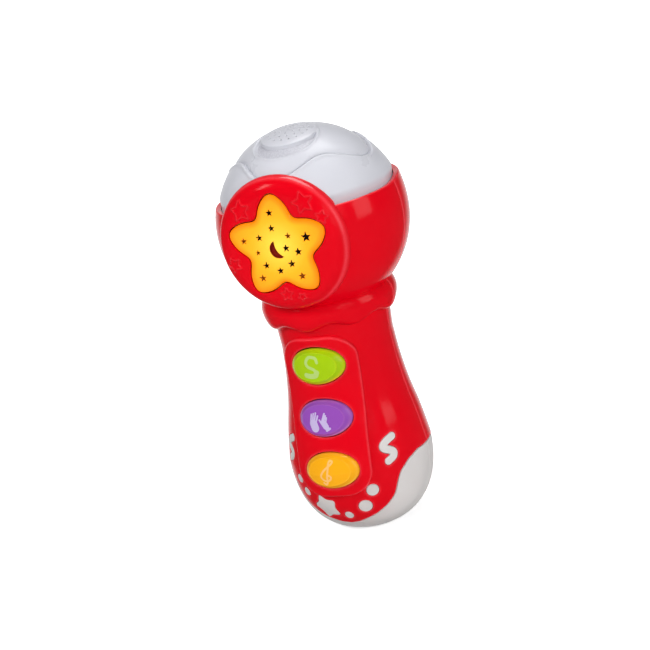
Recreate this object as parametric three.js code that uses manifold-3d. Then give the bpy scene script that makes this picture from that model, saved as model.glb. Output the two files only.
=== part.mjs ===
// Toy microphone with three push buttons, a lit star, a speaker dome and a battery compartment.
// Millimetres, +Z up along the microphone, -Y is the front, origin at the centre of the foot.

import * as THREE from 'three';
import { mergeVertices } from 'three/addons/utils/BufferGeometryUtils.js';
import Module from 'manifold-3d';

const wasm = await Module();
wasm.setup();

// Driving sizes of the body
const wall = 2.2;
const gap = 0.3;
const overrun = 60;
const partingY = 1.0;

const bellyRadius = 29.65;
const bellyHeight = 32;
const footSink = 2;
const baseDepth = bellyHeight + footSink;
const basePower = 2.4;
const baseStepPower = 1.7;
const waistRadius = 23.0;
const waistHeight = 80;
const collarLift = 9.5;
const collarBottom = waistHeight + collarLift;
const collarRadius = 27.8;
const collarRise = 6.5;
const collarHeight = collarBottom + collarRise;
const collarDip = 1.0;
const collarLobes = 8;
const neckRise = 5;
const neckHeight = collarHeight + neckRise;
const neckRadius = 26.08;
const ballRadius = 39;
const ballHeight = neckHeight + Math.sqrt(ballRadius ** 2 - neckRadius ** 2);
const cupWall = 2.6;
const rimRise = 11.4;
const rimHeight = ballHeight + rimRise;

// Share of the way down from waist to belly, and share of the growth in radius
const flareShares = [[0, 0], [0.25, 0.113], [0.5, 0.356], [0.75, 0.722], [1, 1]];
const collarShares = [[0.18, 0.12], [0.3, 0.68], [0.6, 0.93], [1, 1]];
const collarTopShare = 0.7;

// White base: share of the turn from the front or the back, and share of the climb of its edge
const edgeTip = 6.0;
const edgeDrop = 0.5;
const edgeSide = bellyHeight - edgeDrop;
const edgeTurn = 75 * Math.PI / 180;
const edgeShares = [[0, 0], [0.13, 0.02], [0.37, 0.13], [0.53, 0.275], [0.63, 0.435],
  [0.67, 0.635], [0.72, 0.78], [0.85, 0.93], [1, 1]];
const linerWall = 1.5;
const rearLinerRise = 4;
const rearLinerTop = edgeSide + rearLinerRise;

// Raised button panel
const panelHalfWidth = 15.5;
const panelBottom = 21.2;
const panelLift = 7;
const panelTop = waistHeight + panelLift;
const panelCorner = 10.5;
const panelRaise = 1.7;

// Push buttons, an even pitch apart
const middleButtonHeight = (panelBottom + panelTop) / 2;
const buttonPitchShare = 0.3222;
const buttonPitch = (panelTop - panelBottom) * buttonPitchShare;
const buttonHalfWidth = 11.5;
const buttonHalfHeight = 7.5;
const buttonGap = 0.35;
const buttonCrown = 2.6;
const buttonTravel = 1.4;
const buttonTilt = 8.8 * Math.PI / 180;
const buttonFlangeWidth = 0.6;
const buttonFlangeHeight = 1.3;
const buttonFlangeThick = 1.2;
const buttonStemRadius = 3.4;
const buttonDepth = 6.6;
const buttons = [
  { name: 'button_green', height: middleButtonHeight + buttonPitch, colour: 0x9ccc10 },
  { name: 'button_purple', height: middleButtonHeight, colour: 0x9450b4 },
  { name: 'button_orange', height: middleButtonHeight - buttonPitch, colour: 0xfab414 },
];

// Star light
const starDrop = 1.6;
const starHeight = ballHeight - starDrop;
const bezelRadius = 27.4;
const bezelInset = 6.35;
const bezelFront = ballRadius - bezelInset;
const bezelRound = 4.2;
const bezelThick = 2.4;
const bezelDepth = 9.65;
const bezelSink = bezelFront - bezelDepth;
const bezelLip = 3.4;
const lightTubeRadius = bezelRadius - bezelLip;
const lightTubeWall = 1.6;
const bezelLug = 1.4;
const stakeRadius = 0.5;
const starMargin = 2.2;
const starTip = lightTubeRadius - starMargin;
const starNotchShare = 0.6514;
const starNotch = starTip * starNotchShare;
const starRound = 5.0;
const lensProud = 0.2;
const lensFront = bezelFront + lensProud;
const lensFlange = 1.0;
const diodeRadius = 2.4;
const diodeHeight = 2.2;
const moonRadius = 3.7;

// Dome and speaker
const domeInset = 1;
const domeRadius = ballRadius - domeInset;
const domeWall = 2.0;
const domeShoulder = 58 * Math.PI / 180;
const domeTuck = 69 * Math.PI / 180;
const domeSkirtRise = 3;
const domeSkirt = ballHeight + domeSkirtRise;
const grilleTilt = 10 * Math.PI / 180;
const grilleRadius = 10.5;
const grilleRise = 0.5;
const recessWide = 3.1;
const recessRadius = grilleRadius + recessWide;
const recessDepth = 0.4;
const grilleHole = 0.8;
const grilleRingRadius = 6;
const grilleRings = [[0, 1], [grilleRingRadius, 8]];
const grilleCrownShare = 0.6;
const speakerRadius = 14.5;
const speakerDrop = 9;
const speakerSeat = domeRadius - speakerDrop;
const speakerFlange = 1.2;
const speakerDepth = 7.0;
const magnetRadius = 8.0;
const magnetDepth = 6.0;
const basketFloorShare = 0.5;
const coneFloorShare = 0.4;
const clampWall = 1.4;
const clampEar = 4.1;
const clampReach = speakerRadius + clampEar;

// Screws
const screwShaft = 1.25;
const screwHead = 2.7;
const screwHeadThick = 1.8;
const screwLength = 9.0;
const screwFloor = 2.2;
const postWall = 1.2;
const cupScrewInset = 15;
const cupScrewX = ballRadius - cupScrewInset;
const cupScrewDrop = 18;
const cupScrewHeight = ballHeight - cupScrewDrop;
const collarScrewX = 17.5;
const collarScrewRise = 2;
const collarScrewHeight = collarHeight + collarScrewRise;
const baseScrewX = 19.5;
const baseScrewDrop = 7;
const baseScrewHeight = bellyHeight - baseScrewDrop;
const shellScrews = [
  [cupScrewX, cupScrewHeight], [collarScrewX, collarScrewHeight], [baseScrewX, baseScrewHeight],
];

// Circuit board and keypad
const boardDepth = 13.4;
const boardThick = 1.6;
const boardHalfWidth = 13.6;
const boardHalfHeight = 32.0;
const keypadThick = 0.8;
const keypadHalfWidth = 8.4;
const keypadDome = 2.0;
const keypadDomeRadius = 4.2;
const keypadTopShare = 0.7;
const boardScrewShaft = 0.9;
const boardScrewHead = 1.9;
const boardScrewLength = 6.0;
const boardPostRadius = 2.3;
const upperBoardScrewX = 10.6;
const upperBoardScrewEdge = 2.4;
const lowerBoardScrewX = 11.4;
const lowerBoardScrewDrop = 10.6;
const boardScrews = [
  [-upperBoardScrewX, boardHalfHeight - upperBoardScrewEdge],
  [upperBoardScrewX, boardHalfHeight - upperBoardScrewEdge],
  [-lowerBoardScrewX, -lowerBoardScrewDrop],
  [lowerBoardScrewX, -lowerBoardScrewDrop],
];

// Battery compartment
const cellRadius = 5.25;
const cellLength = 43.6;
const cellNub = 0.9;
const cellNubRadius = 1.9;
const cellGap = 0.45;
const cellDepth = 9.2;
const compartmentWall = 1.4;
const springRoom = 4.6;
const contactThick = 0.4;
const contactTailHalf = 1.5;
const contactTailReach = 1.1;
const springWireRadius = 0.28;
const springCoilRadius = 3.7;
const springTaperShare = 0.35;
const springTurns = 3;
const compartmentBottom = 36.2;
const doorThick = 2.0;
const doorTab = 3.0;
const doorTabWidth = 5.0;
const doorScrewShaft = 1.3;
const doorScrewHead = 2.4;
const doorBossWall = 0.9;
const doorScrewReach = 4.2;
const doorScrewSlotShare = 0.2;

// Power switch
const switchDrop = 14;
const switchHeight = ballHeight - switchDrop;
const switchTerminal = 2;
const switchTravel = 3.0;
const knobHalfWidth = 2.6;
const knobHalfHeight = 2.2;
const knobProud = 1.2;
const switchHalfWidth = 7.5;
const switchHalfHeight = 3.2;
const switchThick = 3.6;

// Wires
const wireRadius = 0.7;
const wireBend = 3;
const wireSides = 5;
const wireSteps = 11;

// Round surfaces: sides on the outer skins, the inner walls and small round pieces
const skinSides = 24;
const innerSides = 16;
const edgeSides = 36;
const smallSides = 8;
const tinySides = 6;
const buttonSides = 14;
const baseSteps = 5;
const waistSteps = 4;
const waistSamples = 48;
const cupSteps = 6;
const hollowSteps = 5;
const ballSteps = 18;
const domeSteps = 9;
const domeInnerSteps = 6;
const curlSteps = 8;
const curlSides = 5;
const overlapStep = 0.2;

const red = { color: 0xdc0418, roughness: 0.22, metalness: 0 };
const white = { color: 0xdcdad8, roughness: 0.4, metalness: 0 };
const steel = { color: 0xb8bcc0, roughness: 0.3, metalness: 1 };
const dark = { color: 0x202224, roughness: 0.6, metalness: 0 };

const microphone = new THREE.Group();

function add(name, shape, look) {
  const geometry = shape.isBufferGeometry ? shape : meshOf(shape);
  const mesh = new THREE.Mesh(geometry, new THREE.MeshStandardMaterial(look));
  mesh.name = name;
  microphone.add(mesh);
  return mesh;
}

// A closed three.js geometry as a solid that can be cut and joined
function solid(geometry) {
  const bare = geometry.clone();
  bare.deleteAttribute('normal');
  bare.deleteAttribute('uv');
  const merged = mergeVertices(bare);
  const place = merged.attributes.position;
  const index = merged.index.array;
  const corners = [];
  const a = new THREE.Vector3();
  const b = new THREE.Vector3();
  const c = new THREE.Vector3();
  let volume = 0;
  for (let i = 0; i < index.length; i += 3) {
    const [p, q, r] = [index[i], index[i + 1], index[i + 2]];
    if (p === q || q === r || r === p) continue;
    corners.push([p, q, r]);
    a.fromBufferAttribute(place, p);
    b.fromBufferAttribute(place, q);
    c.fromBufferAttribute(place, r);
    volume += a.dot(b.cross(c));
  }
  const triVerts = new Uint32Array(corners.flatMap((t) => (volume < 0 ? [t[0], t[2], t[1]] : t)));
  const vertProperties = new Float32Array(place.array);
  return new wasm.Manifold(new wasm.Mesh({ numProp: 3, vertProperties, triVerts }));
}

function meshOf(shape) {
  const { numProp, vertProperties, triVerts } = shape.getMesh();
  const geometry = new THREE.BufferGeometry();
  const places = new Float32Array(vertProperties.length / numProp * 3);
  for (let i = 0; i < places.length; i += 1) {
    places[i] = vertProperties[Math.floor(i / 3) * numProp + i % 3];
  }
  geometry.setAttribute('position', new THREE.BufferAttribute(places, 3));
  geometry.setIndex(new THREE.BufferAttribute(new Uint32Array(triVerts), 1));
  geometry.computeVertexNormals();
  return geometry;
}

const joined = (...shapes) => shapes.reduce((sum, shape) => sum.add(shape));
const cut = (shape, ...tools) => tools.reduce((rest, tool) => rest.subtract(tool), shape);

// A body of revolution about +Z from [radius, height] points, its first side at the front
function turned(points, sides) {
  const outline = points.map(([radius, height]) => new THREE.Vector2(radius, height));
  return new THREE.LatheGeometry(outline, sides).rotateX(Math.PI / 2);
}

function ring(outer, inner, low, high, sides) {
  return turned([[inner, low], [outer, low], [outer, high], [inner, high], [inner, low]], sides);
}

function disc(radius, low, high, sides) {
  return turned([[0, low], [radius, low], [radius, high], [0, high]], sides);
}

// A shape drawn as seen from the front, with depth along Y from the nearer to the farther value
function prism(shape, near, far) {
  const options = { depth: far - near, bevelEnabled: false, curveSegments: 3 };
  const geometry = new THREE.ExtrudeGeometry(shape, options);
  return geometry.rotateX(Math.PI / 2).translate(0, far, 0);
}

function block(x0, x1, y0, y1, z0, z1) {
  const box = new THREE.BoxGeometry(x1 - x0, y1 - y0, z1 - z0);
  return box.translate((x0 + x1) / 2, (y0 + y1) / 2, (z0 + z1) / 2);
}

function slab(halfWidth, low, high, corner) {
  const shape = new THREE.Shape();
  shape.moveTo(-halfWidth + corner, low);
  shape.lineTo(halfWidth - corner, low);
  shape.absarc(halfWidth - corner, low + corner, corner, -Math.PI / 2, 0);
  shape.lineTo(halfWidth, high - corner);
  shape.absarc(halfWidth - corner, high - corner, corner, 0, Math.PI / 2);
  shape.lineTo(-halfWidth + corner, high);
  shape.absarc(-halfWidth + corner, high - corner, corner, Math.PI / 2, Math.PI);
  shape.lineTo(-halfWidth, low + corner);
  shape.absarc(-halfWidth + corner, low + corner, corner, Math.PI, Math.PI * 1.5);
  return shape;
}

function oval(halfWidth, halfHeight, sides) {
  const corners = Array.from({ length: sides }, (_, i) => {
    const turn = i / sides * Math.PI * 2;
    return new THREE.Vector2(halfWidth * Math.cos(turn), halfHeight * Math.sin(turn));
  });
  return new THREE.Shape(corners);
}

// A star with straight sides for small cut-outs, centred at (x, z)
function smallStar(x, z, tip, notch, turn = 0) {
  const corners = Array.from({ length: 10 }, (_, i) => {
    const angle = turn + Math.PI / 2 + i * Math.PI / 5;
    const reach = i % 2 ? notch : tip;
    return new THREE.Vector2(x + reach * Math.cos(angle), z + reach * Math.sin(angle));
  });
  return new THREE.Shape(corners);
}

// The big star: its tips and notches are rounded by curves that start short of each corner
function roundStar(tip, notch, round) {
  const corners = smallStar(0, 0, tip + round / 2, notch, 0).getPoints().slice(0, 10);
  const shape = new THREE.Shape();
  corners.forEach((corner, i) => {
    const before = corners[(i + 9) % 10];
    const after = corners[(i + 1) % 10];
    const reach = i % 2 ? round / 2 : round;
    const start = corner.clone().lerp(before, reach / corner.distanceTo(before));
    const end = corner.clone().lerp(after, reach / corner.distanceTo(after));
    if (i === 0) shape.moveTo(start.x, start.y);
    else shape.lineTo(start.x, start.y);
    shape.quadraticCurveTo(corner.x, corner.y, end.x, end.y);
  });
  shape.closePath();
  return shape;
}

// Radius of the handle at a height between the waist's top and the foot, for a skin inset by some amount
const waistCurve = new THREE.SplineCurve(flareShares.map(([down, out]) => new THREE.Vector2(
  waistRadius + (bellyRadius - waistRadius) * out,
  waistHeight - (waistHeight - bellyHeight) * down)));

function baseRadius(height, inset) {
  const drop = Math.min((bellyHeight - height) / (baseDepth - inset), 1);
  return (bellyRadius - inset) * (1 - drop ** basePower) ** (1 / basePower);
}

function handleRadius(height) {
  if (height < bellyHeight) return baseRadius(height, 0);
  const points = waistCurve.getPoints(waistSamples);
  const upper = points.findIndex((point) => point.y <= height);
  if (upper <= 0) return waistRadius;
  const [a, b] = [points[upper - 1], points[upper]];
  return THREE.MathUtils.mapLinear(height, a.y, b.y, a.x, b.x);
}

function skinOutline(inset) {
  const points = [[0, inset]];
  for (let i = 0; i <= baseSteps; i += 1) {
    const climb = 1 - (1 - i / baseSteps) ** baseStepPower;
    const height = inset + (bellyHeight - inset) * climb;
    points.push([baseRadius(height, inset), height]);
  }
  const waist = waistCurve.getPoints(waistSteps).reverse().slice(1);
  for (const point of waist) points.push([point.x - inset, point.y]);
  return points;
}

// The whole outer skin, foot to rim, with the lobed lower edge of the collar
function outerSkin() {
  const points = skinOutline(0);
  const collarOut = collarRadius - waistRadius;
  points.push([waistRadius + collarOut * collarShares[0][1], collarBottom]);
  for (const [up, out] of collarShares) {
    points.push([waistRadius + collarOut * out, collarBottom + collarRise * up]);
  }
  const collarTopRadius = neckRadius + (collarRadius - neckRadius) * collarTopShare;
  points.push([collarTopRadius, (collarHeight + neckHeight) / 2]);
  points.push(...ballPoints(ballRadius, neckHeight, rimHeight, cupSteps));
  points.push([0, rimHeight]);
  const geometry = turned(points, skinSides);
  const place = geometry.attributes.position;
  for (let i = 0; i < place.count; i += 1) {
    const height = place.getZ(i);
    const nearEdge = height > waistHeight && height < collarBottom + collarRise / 2;
    if (!nearEdge || Math.hypot(place.getX(i), place.getY(i)) < waistRadius + overlapStep) continue;
    const turn = Math.atan2(place.getX(i), -place.getY(i));
    place.setZ(i, height - collarDip * Math.cos(collarLobes * turn));
  }
  return solid(geometry);
}

function ballPoints(radius, low, high, steps) {
  const turnAt = (height) => Math.acos(THREE.MathUtils.clamp((height - ballHeight) / radius, -1, 1));
  const from = turnAt(low);
  const to = turnAt(high);
  return Array.from({ length: steps + 1 }, (_, i) => {
    const turn = from + (to - from) * i / steps;
    return [radius * Math.sin(turn), ballHeight + radius * Math.cos(turn)];
  });
}

// The hollow inside the skin, open past the rim
function innerSkin(inset) {
  const points = skinOutline(inset);
  points.push([waistRadius - inset, collarBottom - wall]);
  points.push([collarRadius - inset - gap, collarHeight - wall]);
  const hollow = ballRadius - cupWall + wall - inset;
  points.push(...ballPoints(hollow, neckHeight + wall, rimHeight + wall, hollowSteps));
  points.push([0, rimHeight + wall]);
  return solid(turned(points, skinSides));
}

// Handle skin alone, raised by a negative inset, for the panel and the button crowns
function handleSkin(inset) {
  const points = skinOutline(inset);
  points.push([waistRadius - inset, collarBottom + collarDip]);
  points.push([0, collarBottom + collarDip]);
  return solid(turned(points, skinSides));
}

// Everything above the edge of the white base, the edge moved up by a shift
function edgeHeight(turn) {
  const share = Math.min(Math.abs(turn) / edgeTurn, 1);
  const upper = Math.max(edgeShares.findIndex(([along]) => along >= share), 1);
  const [a, b] = [edgeShares[upper - 1], edgeShares[upper]];
  return edgeTip + (edgeSide - edgeTip) * THREE.MathUtils.mapLinear(share, a[0], b[0], a[1], b[1]);
}

function aboveEdge(shift) {
  const reach = ballRadius + wall;
  const core = bellyRadius / 3;
  const top = edgeSide + overrun * 3;
  const geometry = turned([[0, 0], [core, 0], [reach, 0], [reach, top], [0, top]], edgeSides);
  const place = geometry.attributes.position;
  const slip = Math.sign(shift) * gap / bellyRadius / 2;
  for (let i = 0; i < place.count; i += 1) {
    if (place.getZ(i) > edgeSide) continue;
    const radius = Math.hypot(place.getX(i), place.getY(i));
    const turn = radius > wall ? Math.abs(Math.atan2(place.getX(i), -place.getY(i))) : edgeTurn;
    const folded = Math.min(turn, Math.PI - turn);
    place.setZ(i, edgeHeight(Math.max(folded + slip, 0)) + shift);
  }
  return solid(geometry);
}

const front = solid(block(-overrun, overrun, -overrun, partingY - gap / 2, -overrun, overrun * 4));
const rear = solid(block(-overrun, overrun, partingY + gap / 2, overrun, -overrun, overrun * 4));
const outer = outerSkin();
const inner = innerSkin(wall);
const hull = outer.subtract(inner);

// Screw posts: the rear one holds the head in a deep well, the front one takes the thread
function shellPosts() {
  const fronts = [];
  const rears = [];
  const wells = [];
  for (const [x, height] of shellScrews) {
    for (const side of [-1, 1]) {
      const at = (geometry) => solid(geometry.rotateX(-Math.PI / 2).translate(side * x, partingY, height));
      const wellRadius = screwHead + gap;
      rears.push(at(disc(wellRadius + postWall, gap / 2, overrun, smallSides)));
      wells.push(at(disc(wellRadius, screwFloor, overrun, smallSides)));
      const pilotEnd = screwFloor - screwLength;
      wells.push(at(disc(screwShaft + gap, pilotEnd, screwFloor + overlapStep, tinySides)));
      fronts.push(at(disc(screwShaft + gap + postWall, -overrun, -gap / 2, smallSides)));
    }
  }
  return { fronts: joined(...fronts), rears: joined(...rears), wells: joined(...wells) };
}

function shellScrew(name, x, height) {
  const headTop = partingY + screwFloor + gap;
  const head = disc(screwHead, 0, screwHeadThick, smallSides);
  const shaft = disc(screwShaft, -screwLength, overlapStep, tinySides);
  const screw = joined(solid(head), solid(shaft));
  add(name, meshOf(screw).rotateX(-Math.PI / 2).translate(x, headTop, height), steel);
}

const posts = shellPosts();
const aboveHeight = (low) => solid(block(-overrun, overrun, -overrun, overrun, low, overrun * 4));
const belowHeight = (high) => solid(block(-overrun, overrun, -overrun, overrun, -overrun, high));
const postsUpper = aboveHeight((edgeSide + collarBottom) / 2);

// Frame of a button or of the board: turns a geometry built about -Y by the panel's tilt
const tilted = (geometry) => geometry.rotateX(-buttonTilt);
const outward = new THREE.Vector3(0, -Math.cos(buttonTilt), Math.sin(buttonTilt));
const buttonOrigin = (height) => new THREE.Vector3(0, -handleRadius(height) - panelRaise, height);
const boardOrigin = buttonOrigin(buttons[1].height).addScaledVector(outward, -boardDepth);

function atButton(geometry, height) {
  const origin = buttonOrigin(height);
  return tilted(geometry).translate(origin.x, origin.y, origin.z);
}

function atBoard(geometry) {
  return tilted(geometry).translate(boardOrigin.x, boardOrigin.y, boardOrigin.z);
}

const boardScrewPosts = joined(...boardScrews.map(([x, up]) => solid(atBoard(
  disc(boardPostRadius, gap, overrun / 2, smallSides).rotateX(Math.PI / 2).translate(x, 0, up)))));
const boardScrewHoles = joined(...boardScrews.map(([x, up]) => solid(atBoard(
  disc(boardScrewShaft + gap, -boardThick - gap * 2, boardScrewLength, tinySides)
    .rotateX(Math.PI / 2).translate(x, 0, up)))));

// White dots let into the red front: share of the belly's radius, turn from the front in degrees,
// and share of the belly's height
const inlayDotShares = [
  [0.093, 28.5, 0.672], [0.101, 19.9, 0.456], [0.066, 2.3, 0.338], [0.068, -34.0, 0.666],
  [0.069, -39.2, 0.834],
];
const inlayStarTip = 6.0;
const inlayStarNotch = 4.0;
const inlayStarHeight = 15.0;
const inlayStarTurn = -16.4;
const inlayStarSpin = 0.25;
const squiggleWide = 3.4;
const squiggleTall = 11.5;
const rightSquiggleHeight = 35.5;
const leftSquiggleHeight = 38;
const squiggles = [
  { turn: 49.5, height: rightSquiggleHeight },
  { turn: -49, height: leftSquiggleHeight },
];
const linerMargin = 2.25;
const frontLinerTop = Math.max(...squiggles.map(({ height }) => height)) + squiggleTall / 2 + linerMargin;
// The middle line of a squiggle: shares of its half-width and of its length
const squiggleShares = [[0.9, 0.5], [-0.9, 0.18], [0.9, -0.18], [-0.9, -0.5]];
const squiggleSteps = 5;

// A short wave of even width, like a fat S lying on its side
function squiggleShape(shrink) {
  const half = squiggleWide / 2 - shrink;
  const line = new THREE.SplineCurve(squiggleShares.map(
    ([across, up]) => new THREE.Vector2(squiggleWide / 2 * across, (squiggleTall - squiggleWide) * up)));
  const left = [];
  const right = [];
  for (let i = 0; i <= squiggleSteps; i += 1) {
    const point = line.getPoint(i / squiggleSteps);
    const along = line.getTangent(i / squiggleSteps);
    const side = new THREE.Vector2(-along.y, along.x).multiplyScalar(half);
    if (i === 0) point.addScaledVector(along, -half / 2);
    if (i === squiggleSteps) point.addScaledVector(along, half / 2);
    left.push(point.clone().add(side));
    right.unshift(point.clone().sub(side));
  }
  return new THREE.Shape([...left, ...right]);
}

function inlays(shrink, near, far) {
  const shapes = inlayDotShares.map(([size, turn, up]) => {
    const radius = bellyRadius * size - shrink;
    return { shape: oval(radius, radius, smallSides), turn, height: bellyHeight * up };
  });
  const star = smallStar(0, 0, inlayStarTip - shrink, inlayStarNotch - shrink, inlayStarSpin);
  shapes.push({ shape: star, turn: inlayStarTurn, height: inlayStarHeight });
  for (const { turn, height } of squiggles) shapes.push({ shape: squiggleShape(shrink), turn, height });
  return joined(...shapes.map(({ shape, turn, height }) => solid(
    prism(shape, -far, -near).rotateZ(turn * Math.PI / 180).translate(0, 0, height))));
}

// Red front shell: cup, collar and handle front with its raised panel
function frontShell() {
  const panel = solid(prism(slab(panelHalfWidth, panelBottom, panelTop, panelCorner), -overrun, 0))
    .intersect(handleSkin(-panelRaise));
  const hole = oval(buttonHalfWidth + buttonGap, buttonHalfHeight + buttonGap, buttonSides);
  const holes = buttons.map(({ height }) => solid(atButton(prism(hole, -buttonDepth, boardDepth), height)));
  const bosses = joined(posts.fronts.intersect(postsUpper), boardScrewPosts)
    .intersect(innerSkin(wall - overlapStep));
  const lightHole = solid(disc(lightTubeRadius + gap, 0, overrun, skinSides).rotateX(Math.PI / 2)
    .translate(0, 0, starHeight));
  const skin = joined(hull, panel.subtract(inner));
  return cut(joined(skin, bosses, domeLedge()), posts.wells, boardScrewHoles, ...holes, lightHole,
    inlays(0, bellyRadius / 2, overrun)).intersect(front).intersect(aboveEdge(gap / 2));
}

// The ledge that the dome's skirt stands on, inside the cup
function domeLedge() {
  const low = domeSkirt - gap - wall;
  const hollow = ballRadius - cupWall;
  const reach = Math.sqrt(hollow ** 2 - (low - ballHeight) ** 2) + overlapStep;
  const lightRoom = solid(atStar(disc(lightTubeRadius + bezelLug + wall / 2, 0, overrun, skinSides)));
  return solid(ring(reach, hollow - domeWall - wall, low, domeSkirt - gap, skinSides)).subtract(lightRoom);
}

// Battery compartment and its door share these places
const cellX = cellRadius + cellGap / 2;
const compartmentHalf = cellX + cellRadius + gap;
const compartmentFloor = cellDepth - cellRadius - gap;
const compartmentTop = compartmentBottom + contactThick * 2 + gap * 4 + springRoom + cellLength + cellNub;
const doorHalf = compartmentHalf + gap / 2;
const doorBottom = compartmentBottom - compartmentWall - (doorScrewHead + doorBossWall + gap) * 2;
const doorTop = compartmentTop;
const hingeY = waistRadius + (collarRadius - waistRadius) * collarShares[0][1];
const doorScrewHeight = (doorBottom + compartmentBottom - compartmentWall) / 2;
const doorScrewTip = hingeY - doorScrewReach / 2 - gap;
const doorPostTop = doorScrewTip + doorScrewReach;
const contactBack = compartmentFloor - compartmentWall - contactTailReach;

const atDoorScrew = (geometry) => geometry.rotateX(-Math.PI / 2).translate(0, 0, doorScrewHeight);

function doorOpening(clearance) {
  return solid(block(-doorHalf - clearance, doorHalf + clearance, compartmentFloor + wall, overrun,
    doorBottom - clearance, doorTop + clearance));
}

function compartmentWalls() {
  const low = doorBottom - compartmentWall;
  const outerHalf = doorHalf + compartmentWall;
  const box = solid(block(-outerHalf, outerHalf, compartmentFloor - compartmentWall, overrun, low,
    compartmentTop + compartmentWall));
  const room = solid(block(-compartmentHalf, compartmentHalf, compartmentFloor, overrun,
    compartmentBottom, compartmentTop));
  const screwRoom = solid(block(-compartmentHalf, compartmentHalf, compartmentFloor, overrun,
    doorBottom, compartmentBottom - compartmentWall));
  const postRadius = doorScrewShaft + cellGap + compartmentWall;
  const post = solid(atDoorScrew(disc(postRadius, compartmentFloor - overlapStep, doorPostTop, smallSides)));
  const pilotRadius = doorScrewShaft + cellGap;
  const pilot = solid(atDoorScrew(disc(pilotRadius, doorScrewTip - gap * 2, overrun, smallSides)));
  const tails = [-1, 1].map((side) => contactTail(side * (compartmentHalf / 2), gap));
  return cut(joined(cut(box, room, screwRoom), post), pilot, ...tails);
}

const switchTop = cupInside(switchHalfWidth, switchHeight - switchHalfHeight) - gap;

function switchHousing() {
  const low = switchTop - switchThick;
  const ribMiddle = switchHalfWidth + gap + postWall / 2;
  const rib = block(-postWall / 2, postWall / 2, low, overrun, switchHeight - switchHalfHeight,
    switchHeight + switchHalfHeight);
  const ribs = [-1, 1].map((side) => solid(rib.clone().translate(side * ribMiddle, 0, 0)));
  const slotHalf = knobHalfWidth + switchTravel + gap;
  const slot = solid(block(-slotHalf, slotHalf, low, overrun, switchHeight - knobHalfHeight - gap,
    switchHeight + knobHalfHeight + gap));
  return { ribs: joined(...ribs), slot };
}

// Distance from the axis plane to the inside of the cup's rear wall at a place, on the flat of a facet
function cupInside(x, height) {
  const flat = Math.cos(Math.PI / skinSides);
  return Math.sqrt((ballRadius - cupWall) ** 2 - (height - ballHeight) ** 2 - x ** 2) * flat;
}

function rearShell() {
  const { ribs, slot } = switchHousing();
  const tabSlot = solid(block(-doorTabWidth - gap, doorTabWidth + gap, compartmentFloor + wall, overrun,
    doorTop - overlapStep, doorTop + doorTab + gap * 2));
  const inside = joined(compartmentWalls(), posts.rears.intersect(postsUpper), ribs, domeLedge());
  const bosses = inside.intersect(cut(outer, aboveHeight(rimHeight - wall)));
  const tabRoom = tabSlot.intersect(inner);
  return cut(joined(hull, bosses), posts.wells, doorRoom(gap), slot, tabRoom).intersect(rear)
    .intersect(aboveEdge(gap / 2));
}

// The door is the piece of skin over the compartment, with the walls below it trimmed to fit
function doorRoom(clearance) {
  return doorOpening(clearance).subtract(innerSkin(doorThick + gap));
}

// The door's tab lies under the inside of the wall above the opening
const tabTop = Math.sqrt((waistRadius - wall) ** 2 - doorTabWidth ** 2) - gap;

function batteryDoor() {
  const plate = outer.intersect(doorOpening(0)).subtract(innerSkin(doorThick));
  const tab = solid(block(-doorTabWidth, doorTabWidth, tabTop - doorThick, tabTop,
    doorTop - doorTab, doorTop + doorTab - gap));
  const reach = solid(block(-doorTabWidth, doorTabWidth, tabTop - doorThick, overrun,
    doorTop - doorTab, doorTop - gap)).intersect(outer);
  const bossRadius = doorScrewHead + doorBossWall;
  const boss = solid(atDoorScrew(disc(bossRadius, doorPostTop + gap, overrun, smallSides))).intersect(outer);
  const sink = solid(atDoorScrew(disc(doorScrewHead + gap, doorPostTop + gap + wall, overrun, smallSides)));
  const hole = solid(atDoorScrew(disc(doorScrewShaft + gap, 0, overrun, smallSides)));
  return cut(joined(plate, tab, reach, boss), sink, hole);
}

function doorScrew() {
  const headLow = doorPostTop + gap * 2 + wall;
  const head = solid(disc(doorScrewHead, headLow, headLow + screwHeadThick, smallSides));
  const shaft = solid(disc(doorScrewShaft, doorScrewTip, headLow + overlapStep, smallSides));
  const slotHalf = doorScrewHead * doorScrewSlotShare;
  const slot = solid(block(-slotHalf, slotHalf, -overrun, overrun, headLow + screwHeadThick / 2, overrun));
  return atDoorScrew(meshOf(joined(head, shaft).subtract(slot)));
}

// White base halves: the wall below the edge, and a liner that stands up inside the red shells
function baseHalf(half, linerTop) {
  return cut(outer.intersect(belowHeight(linerTop)), innerSkin(wall + gap + linerWall),
    aboveEdge(-gap / 2).subtract(innerSkin(wall + gap))).intersect(half);
}

function baseFront() {
  const window = solid(prism(slab(panelHalfWidth - gap, panelBottom - gap, frontLinerTop * 2, panelCorner),
    -overrun, 0));
  const bosses = inlays(gap, bellyRadius / 2, overrun).intersect(outer)
    .subtract(innerSkin(wall + gap + linerWall));
  const lowerPosts = posts.fronts.subtract(postsUpper).intersect(innerSkin(wall + gap))
    .intersect(belowHeight(frontLinerTop));
  const liner = baseHalf(front, frontLinerTop).subtract(window);
  return cut(joined(liner, bosses, lowerPosts), posts.wells).intersect(front);
}

function baseRear() {
  const reach = doorHalf + compartmentWall + gap;
  const low = doorBottom - compartmentWall - gap;
  const window = solid(block(-reach, reach, partingY, overrun, low, rearLinerTop * 2));
  const lowerPosts = posts.rears.subtract(postsUpper).intersect(innerSkin(wall + gap))
    .intersect(belowHeight(rearLinerTop));
  return cut(joined(baseHalf(rear, rearLinerTop), lowerPosts), window, posts.wells).intersect(rear);
}

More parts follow.
